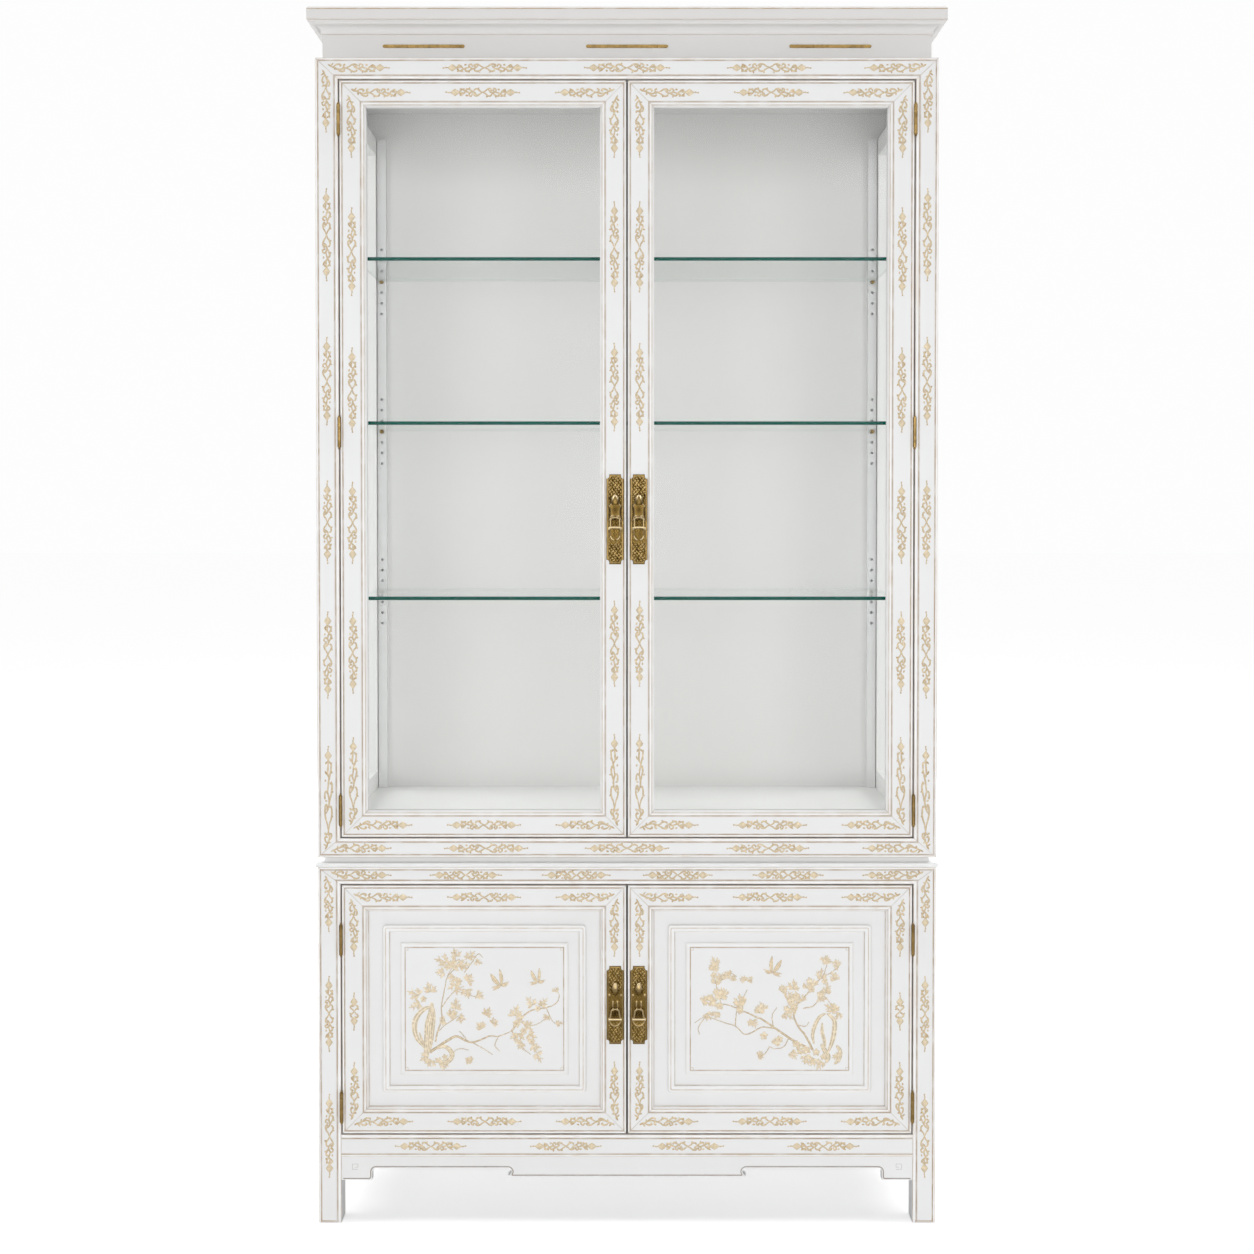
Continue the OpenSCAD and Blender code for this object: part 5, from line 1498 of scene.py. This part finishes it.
LEFT_SCENE = Branches(
    boughs=(
        (2.6, ((41, 30), (67, 48), (84, 57), (99, 51), (111, 47), (126, 51), (142, 58), (156, 57),
               (178, 66))),
        (1.7, ((178, 66), (191, 83), (202, 95), (218, 103), (238, 106), (254, 114), (258, 128), (250, 136))),
        (1.5, ((50, 48), (54, 66), (61, 86), (60, 106), (66, 138), (70, 158), (78, 172))),
        (0.9, ((61, 106), (72, 122), (84, 134), (98, 142))), (0.8, ((52, 62), (64, 74), (78, 84), (90, 92))),
        (0.9, ((111, 47), (128, 38), (146, 26))), (0.8, ((156, 57), (150, 42), (158, 32))),
        (0.8, ((191, 83), (204, 76), (222, 78), (238, 90))), (0.8, ((102, 52), (94, 62), (90, 66))),
        (0.8, ((99, 165), (112, 182), (122, 196), (130, 190))), (0.7, ((236, 106), (246, 84), (256, 76))),
        (0.8, ((70, 158), (86, 174), (99, 186), (108, 190))), (0.8, ((84, 134), (104, 128), (122, 122))),
        (0.7, ((77, 28), (90, 36), (106, 34))), (0.9, ((178, 66), (186, 54), (196, 38), (210, 26))),
    ),
    sprays=(
        (78, 172, 17, 70), (68, 182, 14, 150), (64, 166, 13, 195), (82, 158, 13, 240), (92, 176, 14, 20),
        (86, 192, 12, 100), (106, 188, 12, 60), (118, 184, 9, -30), (84, 146, 15, 265), (104, 150, 14, 45),
        (102, 136, 14, 270), (120, 128, 12, -20), (42, 132, 15, 95), (22, 126, 15, 150), (24, 112, 14, 215),
        (84, 104, 14, 80), (74, 90, 13, 40), (90, 90, 11, -35), (66, 84, 10, 200), (136, 92, 13, 60),
        (128, 70, 12, 120), (146, 78, 11, 35), (184, 92, 16, 85), (196, 86, 13, 150), (200, 74, 13, 20),
        (188, 62, 15, 265), (206, 60, 14, -30), (196, 46, 12, 230), (212, 40, 13, -15), (220, 28, 12, -50),
        (214, 110, 14, 120), (228, 108, 12, 60), (238, 92, 9, 250), (254, 78, 8, 20), (252, 132, 8, 80),
        (44, 16, 12, 250), (62, 12, 12, 290), (36, 22, 12, 200), (102, 14, 9, 25), (112, 16, 8, 160),
    ),
    flowers=(
        (80, 180, 6.5, 10), (70, 174, 6, 40), (90, 150, 6, 0), (30, 120, 6, 20), (82, 96, 6, 15),
        (186, 78, 7, 0), (198, 66, 6.5, 30), (212, 48, 6, 10), (222, 104, 6, 50), (130, 76, 5.5, 20),
        (56, 16, 6, 0), (66, 22, 5.5, 30),
    ),
    birds=((160, 142, 21, 20), (222, 148, 18, 10)),
    strands=(
        (4.8, 1.3, 2, ((44, 108), (30, 102), (18, 88), (15, 72), (19, 54), (32, 38))),
        (7.0, 1.6, 4, ((44, 114), (43, 96), (39, 78), (38, 58), (36, 36), (33, 14))),
        (3.0, 1.4, 2, ((48, 104), (48, 88), (46, 70), (44, 50), (40, 30))),
        (2.2, 1.2, 1, ((23, 64), (27, 52), (33, 40))),
        (4.4, 1.3, 3, ((52, 36), (64, 40), (74, 34), (78, 24), (70, 14), (58, 14), (50, 20))),
    ),
)

RIGHT_SCENE = Branches(
    boughs=(
        (2.0, ((60, 34), (72, 58), (86, 76), (92, 96), (86, 112), (88, 128), (92, 142))),
        (1.4, ((86, 112), (70, 128), (56, 146), (44, 158), (38, 172), (34, 188))),
        (1.1, ((76, 104), (60, 108), (50, 118), (40, 124), (24, 104))),
        (0.9, ((44, 158), (30, 164), (16, 176))),
        (2.2, ((66, 36), (96, 52), (122, 70), (142, 84), (160, 92), (178, 100), (196, 108), (214, 112),
               (236, 112))),
        (1.2, ((122, 70), (146, 72), (172, 60), (190, 74), (214, 82), (240, 90), (258, 80))),
        (1.0, ((190, 74), (188, 96), (180, 104))), (0.9, ((126, 72), (128, 92), (120, 106))),
        (0.9, ((178, 100), (176, 122), (170, 136))), (0.9, ((214, 112), (222, 138), (216, 158))),
        (0.8, ((216, 158), (200, 164), (188, 158))), (0.8, ((240, 90), (252, 72), (250, 60))),
        (0.9, ((100, 54), (108, 40), (122, 36), (134, 40))), (0.8, ((84, 76), (72, 74), (66, 82))),
        (0.8, ((132, 40), (140, 28), (150, 22))),
    ),
    sprays=(
        (96, 108, 14, 120), (104, 120, 14, 160), (112, 132, 13, 130), (92, 136, 14, 90), (88, 100, 13, 20),
        (108, 96, 13, 215), (78, 116, 12, 60), (70, 138, 13, 100), (58, 142, 12, 60), (46, 154, 14, 95),
        (36, 180, 12, 80), (44, 184, 10, 130), (16, 176, 12, 30), (22, 152, 13, 70), (38, 130, 13, 100),
        (50, 124, 12, 200), (22, 102, 15, 20), (14, 96, 10, -60), (182, 110, 15, 90), (174, 114, 12, 30),
        (188, 108, 12, 170), (150, 96, 14, 100), (142, 102, 12, 60), (214, 120, 15, 90), (224, 126, 14, 150),
        (206, 126, 13, 40), (232, 116, 14, 200), (246, 116, 14, 160), (224, 146, 13, 110), (212, 152, 12, 60),
        (228, 168, 15, 110), (222, 178, 12, 60), (198, 160, 12, 20), (190, 156, 9, -20), (238, 96, 12, 240),
        (222, 98, 11, 270), (160, 84, 10, 250), (174, 150, 10, 60), (162, 152, 9, 10), (124, 44, 12, 120),
        (86, 34, 14, 170), (96, 30, 12, 230), (72, 24, 14, 250), (58, 20, 13, 290), (44, 14, 12, 300),
        (152, 24, 10, 160), (16, 22, 11, 20),
    ),
    flowers=(
        (96, 116, 7, 0), (88, 126, 6.5, 20), (104, 104, 6, 40), (62, 136, 6.5, 10), (40, 150, 6, 0),
        (48, 128, 6, 30), (216, 108, 7, 15), (232, 122, 7, 40), (182, 100, 6.5, 0), (164, 80, 7, 10),
        (142, 58, 7.5, 20), (116, 52, 7, 0), (88, 44, 7, 30), (70, 34, 8, 0), (54, 30, 7, 20),
        (226, 160, 6.5, 0), (20, 104, 6, 0), (42, 22, 6, 10),
    ),
    birds=((128, 164, 21, 15),),
    strands=(
        (4.4, 1.4, 2, ((36, 96), (24, 84), (24, 64), (28, 46), (34, 30))),
        (3.6, 1.3, 2, ((38, 96), (48, 90), (56, 76), (60, 60), (58, 44))),
        (3.4, 1.3, 1, ((44, 80), (44, 64), (40, 48), (40, 34))),
        (4.6, 1.5, 3, ((46, 44), (40, 34), (34, 22), (38, 12))),
        (4.0, 1.3, 3, ((20, 42), (14, 32), (16, 18), (24, 10))),
    ),
    mirrored=True,
)


@dataclass
class Pull(DoorPart):
    """A door's embossed backplate with its boss and lugs, and the stirrup that hangs from it."""

    step_w: float = 4.7
    step_h: float = 7.6
    pivot_out: float = 10.5
    drop: float = 17.0
    bar_half: float = 12.5
    rim_side: float = 11.0
    rod: float = 1.5
    bar: float = 2.0
    plate_t: float = 2.0
    lug_r: float = 3.2
    lug_x: float = 3.5
    rows: int = 190
    columns: int = 45

    def build(self) -> None:
        """Builds the plate and the stirrup."""
        low, high = corners_of(f"{self.name}_backplate")
        moving = corners_of(f"{self.name}_pull")
        bar = (moving[0][0] + moving[1][0]) / 2
        self.plate(low, high, bar, moving[1][2] - self.rod)
        self.stirrup(bar, moving)

    def plate(self, low: np.ndarray, high: np.ndarray, x: float, pivot_z: float) -> None:
        """The plate, a height over its outline: stepped ends, a bevelled rim and embossed fields.

        Half its width is full between the steps, follows a quarter circle in each notch, and is
        less by the step beyond it. The embossing is a lattice, the product of two slanted sines,
        bent by a slow wave, and fades towards the plain middle.

        Args:
            low: The node's lowest corner.
            high: Its highest corner.
            x: The plate's middle.
            pivot_z: Height of the stirrup's pivot.
        """
        tall = self.tier is Tier.UPPER
        half_w, half_h = (high[0] - low[0]) / 2, (high[2] - low[2]) / 2
        middle, back = (low[2] + high[2]) / 2, high[1]
        # The outline, and points across it that stand closer near its edges.
        notch = half_h - (self.step_h - self.step_w)
        ends = [notch - self.step_w * math.cos(t) for t in np.linspace(0, math.pi / 2, 8)]
        tip = np.linspace(notch, half_h, 8)
        body = np.linspace(-notch + self.step_w, notch - self.step_w, self.rows)
        z = np.unique(np.concatenate([body, ends, [-e for e in ends], tip, -tip]))
        over = np.abs(z)
        bite = np.sqrt(np.clip(self.step_w ** 2 - (notch - over) ** 2, 0, None))
        bite = np.where(over > notch - self.step_w, bite, 0)
        width = np.where(over > notch, half_w - self.step_w, half_w - bite)
        turn = np.linspace(-math.pi / 2, math.pi / 2, self.columns)
        s = np.sin(turn) * 0.55 + np.linspace(-1, 1, self.columns) * 0.45
        across = width[:, None] * s
        level = np.broadcast_to(z[:, None], across.shape)
        edge = np.minimum(width[:, None] - np.abs(across), (half_h - over)[:, None])
        # The rim, and the embossed lattice with its small dents.
        rim = np.clip(edge / 0.9, 0, 1)
        ridge = np.exp(-((edge - 2.6) / 0.5) ** 2)
        bent = across + 0.9 * np.sin(level / 4.6) + 0.8 * self.side.value * np.sin(level * 0.9 + across * 0.6)
        slant = level + 0.9 * np.sin(across * 0.8 + level * 0.5)
        strand, other = bent / 5.8 + slant / 7.6, bent / 5.8 - slant / 7.6
        lattice = np.abs(np.sin(math.pi * strand) * np.sin(math.pi * other))
        dent, cross = bent / 4.6 + level / 7.1, bent / 5.0 - slant / 5.7
        hammer = np.abs(np.sin(math.pi * dent) * np.sin(math.pi * cross))
        field_z = np.clip((np.abs(level + 2) - (34 if tall else 25)) / 6, 0, 1)
        inner = np.clip((edge - 3.0) / 0.8, 0, 1)
        relief = inner * (field_z * lattice + 0.3 * (1 - field_z) * hammer)
        up = level + middle - pivot_z
        raised, hollow_and_shade, worn_and_lit = self.hanger(across, up, tall)
        # Its height; its dark share, patina in the hollows and painted shade round the hanger and in the
        # loop; its shine, rubbed crests and painted highlight.
        flat = 1 - np.clip(raised, 0, 1)
        height = 0.5 + 1.35 * np.sqrt(rim) + 0.22 * ridge + 0.6 * relief * flat + raised
        plain = 1 - np.clip(raised * 2, 0, 1)
        dark = 0.6 * np.exp(-((edge - 3.2) / 0.6) ** 2) + 0.55 * np.exp(-(edge / 0.9) ** 2)
        dark += (1 if tall else 0.7) * inner * field_z * np.clip(1.3 - 2.6 * lattice, 0, 1)
        dark += inner * (1 - field_z) * np.clip(0.95 - 1.5 * hammer, 0, 0.8 if tall else 0.5)
        dark = np.clip(dark * plain + hollow_and_shade, 0, 1)
        crests = np.clip(1.6 * lattice - 1.1, 0, 0.3)
        shine = np.clip(0.2 * ridge + worn_and_lit + plain * inner * field_z * crests, 0, 1)
        # The front, the four skirts down to the door, and the flat rear.
        patch = Patch()
        front = np.stack([x + across, back - height, middle + level], -1)
        patch.grid(front, flip=True, line=dark, wear=shine)
        rear = front * [1, 0, 1] + [0, back, 0]
        skirts = ((front[:, 0], rear[:, 0], False), (front[:, -1], rear[:, -1], True),
                  (front[0], rear[0], True), (front[-1], rear[-1], False))
        for near, far, turned in skirts:
            patch.grid(np.stack([near, far]), flip=turned, line=0.3)
        patch.grid(rear[:, ::self.columns - 1])
        self.boss(patch, x, back - 1.9, pivot_z, tall)
        self.lugs(patch, x, back, pivot_z)
        patch.piece(f"{self.name}_embossed_plate", f"{self.name}_door", "antique_brass", self.shop.brass,
                    (f"{self.name}_backplate",), crease=50)

    def hanger(self, across: np.ndarray, up: np.ndarray, tall: bool) -> tuple[np.ndarray, ...]:
        """The low forms round the pivot, and the raised rim below it.

        Args:
            across: Distance from the plate's middle.
            up: Height above the pivot.
            tall: True for a tall plate.

        Returns:
            The height that is added, the darkened share of patina and painted shade, and the share of rubbing
            and painted highlight.
        """
        raised, hollow_and_shade, worn_and_lit, ring, glint = self.bell(across, up) if tall else self.prongs(across, up)
        return raised + 1.1 * ring, np.clip(hollow_and_shade * (1 - ring), 0, 1), np.clip(worn_and_lit + glint * ring, 0, 1)

    def bell(self, across: np.ndarray, up: np.ndarray) -> tuple[np.ndarray, ...]:
        """A tall plate's bell-shaped hanger and the rim below it.

        The bell's half width follows knots along its height, and it rises by a quarter sine over
        1.4 mm. The rim is a ridge where the distance from its centre line is 0.

        Args:
            across: Distance from the plate's middle.
            up: Height above the pivot.

        Returns:
            Its height, its dark share of patina and painted shade, its share of rubbing and painted
            highlight, the rim and the rim's shine.
        """
        side, fall = np.abs(across), up + self.drop
        knots = np.array([-7, -5.6, -4.6, -2, 0, 3, 10, 15, 18, 19.7, 21, 23, 26, 33, 36, 38.6])
        widths = np.array([0, 10.4, 11.2, 9.6, 8.6, 8.2, 8.0, 8.5, 10.0, 11.0, 8.8, 6.9, 6.5, 6.1, 4.6, 0])
        half = np.interp(up, knots, widths, left=0, right=0)
        foot = 1.0 - 6.0 * np.clip((side - 6.8) / 3.4, 0, 1)
        fill = np.clip((half - side) / 1.4, 0, 1) * np.clip((up - foot) / 1.0, 0, 1)
        raised = 1.4 * np.sin(fill * math.pi / 2)
        # Painted highlight: a light band inside the bell's edge, weaker over its middle height, and two
        # arches over the pivot.
        worn_and_lit = 0.75 * np.exp(-((half - side - 0.9) / 0.6) ** 2) * (half > 1) * (up > foot)
        arches = 1.3 * np.exp(-((up - 2.0 + 0.12 * (side - 4.4) ** 2) / 1.3) ** 2) * (side < 8.4)
        worn_and_lit = np.maximum(worn_and_lit * np.where(np.abs(up - 10) < 8, 0.35, 1), arches * (side > 1.2))
        # Painted shade: a dark halo outside the bell's edge and a dark patch inside the stirrup's loop below
        # the pivot; the bell also darkens towards its middle, and hammered flecks follow.
        hollow_and_shade = 0.8 * np.exp(-((side - half - 0.9) / 0.8) ** 2) * (half > 1)
        hollow_and_shade += 0.62 * np.exp(-((up - 13) / 7) ** 2 - (across / 5.2) ** 2)
        hollow_and_shade += 0.2 * (side < 7.0) * np.clip((-0.5 - up) / 1.5, 0, 1) * np.clip((up + 16) / 3, 0, 1)
        grain = np.abs(np.sin(up * 0.9 + 1.4 * np.sin(across * 1.3)) * np.sin(across * 1.2 - up * 0.35))
        hollow_and_shade += 1.3 * np.clip(0.45 - grain, 0, 1) * (half > 1)
        bend = fall + self.rim_side
        away = np.where(bend > 0, np.abs(side - 8.4), np.abs(np.hypot(across, bend * 0.86) - 8.4))
        ring = np.exp(-(away / 0.75) ** 2) * (fall < 0) * np.clip((side - 1.8) / 1.4, 0, 1)
        glint = np.where(bend < -3, 0.95, 0.4)
        return raised, hollow_and_shade, worn_and_lit, ring, glint

    def prongs(self, across: np.ndarray, up: np.ndarray) -> tuple[np.ndarray, ...]:
        """A low plate's two prongs with a small star over each, and the oval rim.

        Args:
            across: Distance from the plate's middle.
            up: Height above the pivot.

        Returns:
            Their height, the dark share of patina and painted shade, the share of rubbing and painted
            highlight, the rim and the rim's shine.
        """
        side, fall = np.abs(across), up + self.drop
        prong = np.exp(-((side - 3.9) / 0.9) ** 2) * np.clip((up - 0.5) / 1.5, 0, 1)
        prong = prong * np.clip((12 - up) / 2.5, 0, 1)
        star = np.exp(-(((side - 9.8) / 1.4) ** 2 + ((up - 21) / 1.6) ** 2))
        raised, worn_and_lit = 1.2 * prong + 0.6 * star, 0.6 * prong + 0.6 * star
        # Painted shade: dark inside the stirrup's loop below the pivot, and a dark ring round the boss.
        hollow_and_shade = 0.5 * (side < 6.6) * np.clip((0.5 - up) / 2, 0, 1) * np.clip((up + 16) / 3, 0, 1)
        hollow_and_shade += 0.5 * np.exp(-((np.hypot(across, (up - 33) * 0.62) - 7.2) / 1.0) ** 2)
        away = np.abs(np.hypot(across / 10.6, fall / 14.0) - 1) * 11
        ring, glint = np.exp(-(away / 0.75) ** 2) * (fall < 0), 0.45
        return raised, hollow_and_shade, worn_and_lit, ring, glint

    def boss(self, patch: Patch, x: float, y: float, pivot_z: float, tall: bool) -> None:
        """The bullet boss: half a turned form whose radius is a root of one minus the height to a power.

        Args:
            patch: The piece it goes into.
            x: Its middle.
            y: Depth of its axis.
            pivot_z: Height of the stirrup's pivot.
            tall: True for a tall plate.
        """
        t = np.linspace(0, 1, 24)[:, None]
        foot, height = (21.0, 18.0) if tall else (25.0, 17.5)
        radius, angle = (6.3 if tall else 5.7), np.linspace(0, math.pi, 25)
        waist = 1 - (0.1 if tall else 0.3) * np.clip(1 - t / 0.22, 0, 1) ** 2
        around = radius * np.sqrt(np.clip(1 - t ** 2.4, 0, 1)) * waist
        xyz = np.stack([x + around * np.cos(angle), y - around * np.sin(angle),
                        np.broadcast_to(pivot_z + foot + height * t, (24, 25))], -1)
        # Painted highlight on the rim and towards the top, more on a low plate; painted shade at the foot; a
        # dark spot low on the front.
        rimmed = np.clip((np.hypot(np.cos(angle) * 1.05, t) - 0.72) / 0.2, 0, 1)
        rimmed = rimmed * np.clip((t - 0.3) / 0.3, 0, 1)
        spot = np.exp(-((t - 0.34) / 0.13) ** 2 - (np.cos(angle) / 0.5) ** 2) * (0.2 if tall else 0.9)
        shade = np.clip(1 - t / 0.45, 0, 1) * (0.2 if tall else 0.1)
        wear = np.clip(rimmed + (0.1 if tall else 0.45) * t, 0, 1)
        patch.grid(xyz, line=np.clip(spot + shade, 0, 1), wear=wear)

    def lugs(self, patch: Patch, x: float, back: float, pivot_z: float) -> None:
        """Two lugs that hold the stirrup's pin. Each is a slab with a half round nose and eased edges.

        Args:
            patch: The piece they go into.
            x: The plate's middle.
            back: Depth of the plate's back.
            pivot_z: Height of the stirrup's pivot.
        """
        turn = np.linspace(-math.pi / 2, math.pi / 2, 9)
        out, r = self.plate_t + self.pivot_out, self.lug_r
        nose = np.stack([out + r * np.cos(turn), r * np.sin(turn)], -1)
        outline = np.concatenate([[[0.5, -r]], nose, [[0.5, r]]])
        centre = np.array([out, 0.0])
        slices = ((-1.1, 0.0), (-1.1, 0.86), (-0.8, 1.0), (0.8, 1.0), (1.1, 0.86), (1.1, 0.0))
        for sign in (-1, 1):
            middle = x + sign * self.lug_x
            rows = []
            for offset, scale in slices:
                plan = centre + (outline - centre) * scale
                slab = np.full(len(plan), middle + offset)
                rows.append(np.stack([slab, back - plan[:, 0], pivot_z + plan[:, 1]], -1))
            patch.grid(np.array(rows), wrap_columns=True, flip=True, line=0.1, wear=0.45)

    def stirrup(self, x: float, box: tuple[np.ndarray, np.ndarray]) -> None:
        """The loop and its crossbar: bars carried along a flared arch and along the bar's line.

        The arch is half an ellipse with its sine to the power 0.8. The tall pull's bar is a flat
        parabola whose ends droop with the square of the distance.

        Args:
            x: The plate's middle.
            box: The moving node's lowest and highest corners.
        """
        patch = Patch()
        tall = self.tier is Tier.UPPER
        low, high = box
        top, bar_z, y = high[2] - self.rod, low[2] + self.bar, low[1] + self.bar
        turn = np.linspace(math.pi, 0, 21)
        arch_w = 7.5 if tall else 6.6
        rise = 4.5
        arch_z = top - rise + rise * np.sin(turn) ** 0.8
        arch = np.stack([x + arch_w * np.cos(turn), np.full(21, y), arch_z], -1)
        feet_w = 7.5 if tall else 8.75
        legs = np.linspace(bar_z, top - 5.2, 6)
        left = np.stack([x - np.linspace(feet_w, arch_w, 6), np.full(6, y), legs], -1)
        right = np.stack([x + np.linspace(feet_w, arch_w, 6), np.full(6, y), legs], -1)[::-1]
        path = np.concatenate([left, arch, right])
        tube(patch, path, self.rod, (0, 1, 0), 12, wear=0.35, line=0.1)
        half = self.bar_half - self.bar
        u = np.linspace(-1, 1, 17)
        droop = 2.6 * np.clip((np.abs(u) - 0.72) / 0.28, 0, 1) ** 2 if tall else 0 * u
        crown = 0.6 * (1 - u ** 2) if tall else 0
        bar = np.stack([x + half * u, y + 0.4 * droop, bar_z - droop + crown], -1)
        tube(patch, bar, self.bar * (1 + 0.08 * np.abs(u) ** 4), (0, 1, 0), 14, wear=0.85)
        patch.piece(f"{self.name}_stirrup", f"{self.name}_pull", "antique_brass", self.shop.brass,
                    (f"{self.name}_pull",), closed=True, crease=50)


@dataclass
class Carcass:
    """The boards, posts, panels, panes and fittings that keep the frame's own shape."""

    shop: Workshop

    def build(self) -> None:
        """Gives each node that shows its finish."""
        finishes = {
            "crown_top_board": self.shop.crown, "crown_moulding": self.shop.crown,
            "frieze_boards": self.shop.crown, "upper_top_panel": self.shop.shade,
            "upper_back_panel": self.shop.shade, "lower_back_panel": self.shop.shade,
            "upper_base_plinth": self.shop.shade, "door_catches": self.shop.steel,
            "upper_floor_board": self.shop.lining, "side_glazing_frames": self.shop.lining,
            "side_glass_panes": self.shop.side_pane,
        }
        for name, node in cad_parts.items():
            if name.startswith("glass_shelf"):
                chosen = self.shop.shelf
            elif name.endswith("door_glass"):
                chosen = self.shop.pane
            elif name.endswith(("leaves", "pins", "brass_strips")):
                chosen = self.shop.rubbed
            elif name.endswith(("backplate", "pull")):
                chosen = self.shop.brass
            else:
                chosen = finishes.get(name, self.shop.white)
            node.data.materials.clear()
            node.data.materials.append(chosen)


# Studio


@dataclass(frozen=True)
class Lamp:
    """A large soft lamp that looks at the middle of the hutch, in metres and watts."""

    name: str
    place: tuple[float, float, float]
    size: tuple[float, float]
    power: float

    def hang(self) -> None:
        """Hangs the lamp. It isn't seen itself."""
        light = bpy.data.lights.new(self.name, "AREA")
        light.shape = "RECTANGLE"
        light.size, light.size_y = self.size
        light.energy = self.power
        lamp = placed(self.name, light)
        lamp.visible_camera = False
        lamp.location = self.place
        sight = Vector((0, 0, 1.0)) - Vector(self.place)
        lamp.rotation_euler = sight.to_track_quat("-Z", "Y").to_euler()


LAMPS = (
    Lamp("front_lamp", (0.0, -6.4, 1.6), (8.0, 3.1), 164),
    Lamp("key_lamp", (-2.6, -4.6, 1.7), (2.6, 2.6), 17),
    Lamp("fill_lamp", (2.8, -4.6, 1.2), (2.6, 2.2), 18),
    Lamp("left_lamp", (-3.4, 0.2, 3.6), (2.4, 2.4), 92),
    Lamp("right_lamp", (3.4, 0.2, 3.6), (2.4, 2.4), 92),
    Lamp("rear_lamp", (0.0, 4.6, 1.8), (3.0, 2.6), 80),
    Lamp("top_lamp", (0.0, -0.4, 5.4), (3.0, 3.0), 52),
)


@dataclass(frozen=True)
class Studio:
    """The pale floor, the soft lamps, the white surroundings and the camera, lengths in metres."""

    lens: float = 54.21
    distance: float = 3.15
    height: float = 1.2155
    tilt: float = 1.25
    shift: float = -0.0686
    face_y: float = -0.1844
    white: float = 0.985
    fill: float = 0.26
    floor_reach: float = 40.0
    floor_z: float = -0.0005
    glow_reach: tuple[float, float] = (0.7, 2.4)
    glow: tuple[float, float] = (0.44, 0.75)

    def build(self) -> None:
        """Sets the stage, the lamps and the camera."""
        bpy.context.scene.view_settings.view_transform = "Standard"
        self.surroundings()
        self.floor()
        for lamp in LAMPS:
            lamp.hang()
        self.camera()

    def surroundings(self) -> None:
        """Even white light all round, full white to the camera, to mirrors and through glass."""
        world = bpy.data.worlds.new("studio_air")
        world.use_nodes = True
        world.node_tree.nodes.clear()
        graph = Graph(world.node_tree)
        rays = graph.node("ShaderNodeLightPath").outputs
        seen = graph.math("MAXIMUM", rays["Is Camera Ray"], rays["Is Transmission Ray"])
        seen = graph.math("MAXIMUM", seen, rays["Is Glossy Ray"])
        levels = {0: seen, 2: self.fill, 3: self.white}
        level = graph.node("ShaderNodeMix", levels, data_type="FLOAT").outputs[0]
        shade = graph.node("ShaderNodeBackground", {"Color": (1, 1, 1, 1), "Strength": level})
        graph.node("ShaderNodeOutputWorld", {"Surface": shade.outputs[0]})
        bpy.context.scene.world = world

    def floor(self) -> None:
        """A wide pale floor that shows white and keeps the hutch's shadow."""
        edge = np.linspace(-1, 1, 9) * self.floor_reach
        x, y = np.meshgrid(edge, edge, indexing="ij")
        points = np.stack([x, y, np.full_like(x, self.floor_z)], -1).reshape(-1, 3)
        index = np.arange(81).reshape(9, 9)
        quads = np.stack([index[:-1, :-1], index[1:, :-1], index[1:, 1:], index[:-1, 1:]], -1).reshape(-1, 4)
        mesh = bpy.data.meshes.new("floor")
        mesh.from_pydata(points.tolist(), [], quads.tolist())
        made, graph, surface = new_material("pale_floor")
        colour = graph.blend(graph.noise(graph.place(), 0.8), (0.86, 0.86, 0.86, 1), (0.88, 0.88, 0.88, 1))
        matt = graph.node("ShaderNodeBsdfPrincipled", {
            "Base Color": colour, "Roughness": 0.9, "Specular IOR Level": 0.0}).outputs[0]
        seen = graph.node("ShaderNodeLightPath").outputs["Is Camera Ray"]
        away = graph.node("ShaderNodeVectorMath", {0: graph.place()}, operation="LENGTH").outputs["Value"]
        (near, far), (low, high) = self.glow_reach, self.glow
        level = graph.node("ShaderNodeMapRange", {0: away, 1: near, 2: far, 3: low, 4: high},
                           interpolation_type="SMOOTHSTEP").outputs[0]
        glow = graph.node("ShaderNodeEmission", {"Strength": graph.math("MULTIPLY", seen, level)})
        shown = graph.node("ShaderNodeAddShader", {0: matt, 1: glow.outputs[0]})
        graph.tree.links.new(shown.outputs[0], surface)
        mesh.materials.append(made)
        floor = placed("floor", mesh)

    def camera(self) -> None:
        """A level view from straight ahead, tipped down a little."""
        data = bpy.data.cameras.new("camera")
        data.lens, data.sensor_width, data.shift_y = self.lens, 36.0, self.shift
        camera = placed("camera", data)
        camera.location = (0.0, self.face_y - self.distance, self.height)
        camera.rotation_euler = (math.radians(90 - self.tilt), 0.0, 0.0)
        bpy.context.scene.camera = camera


def main() -> None:
    logging.basicConfig(level=logging.INFO, format="%(name)s: %(message)s")
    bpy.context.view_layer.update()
    shop = Workshop.open()
    Studio().build()
    Carcass(shop).build()
    FaceFrames(shop).build()
    Apron(shop).build()
    for tier in Tier:
        for side in Side:
            Door(shop, tier, side).build()
            Pull(shop, tier, side).build()


if __name__ == "__main__":
    main()
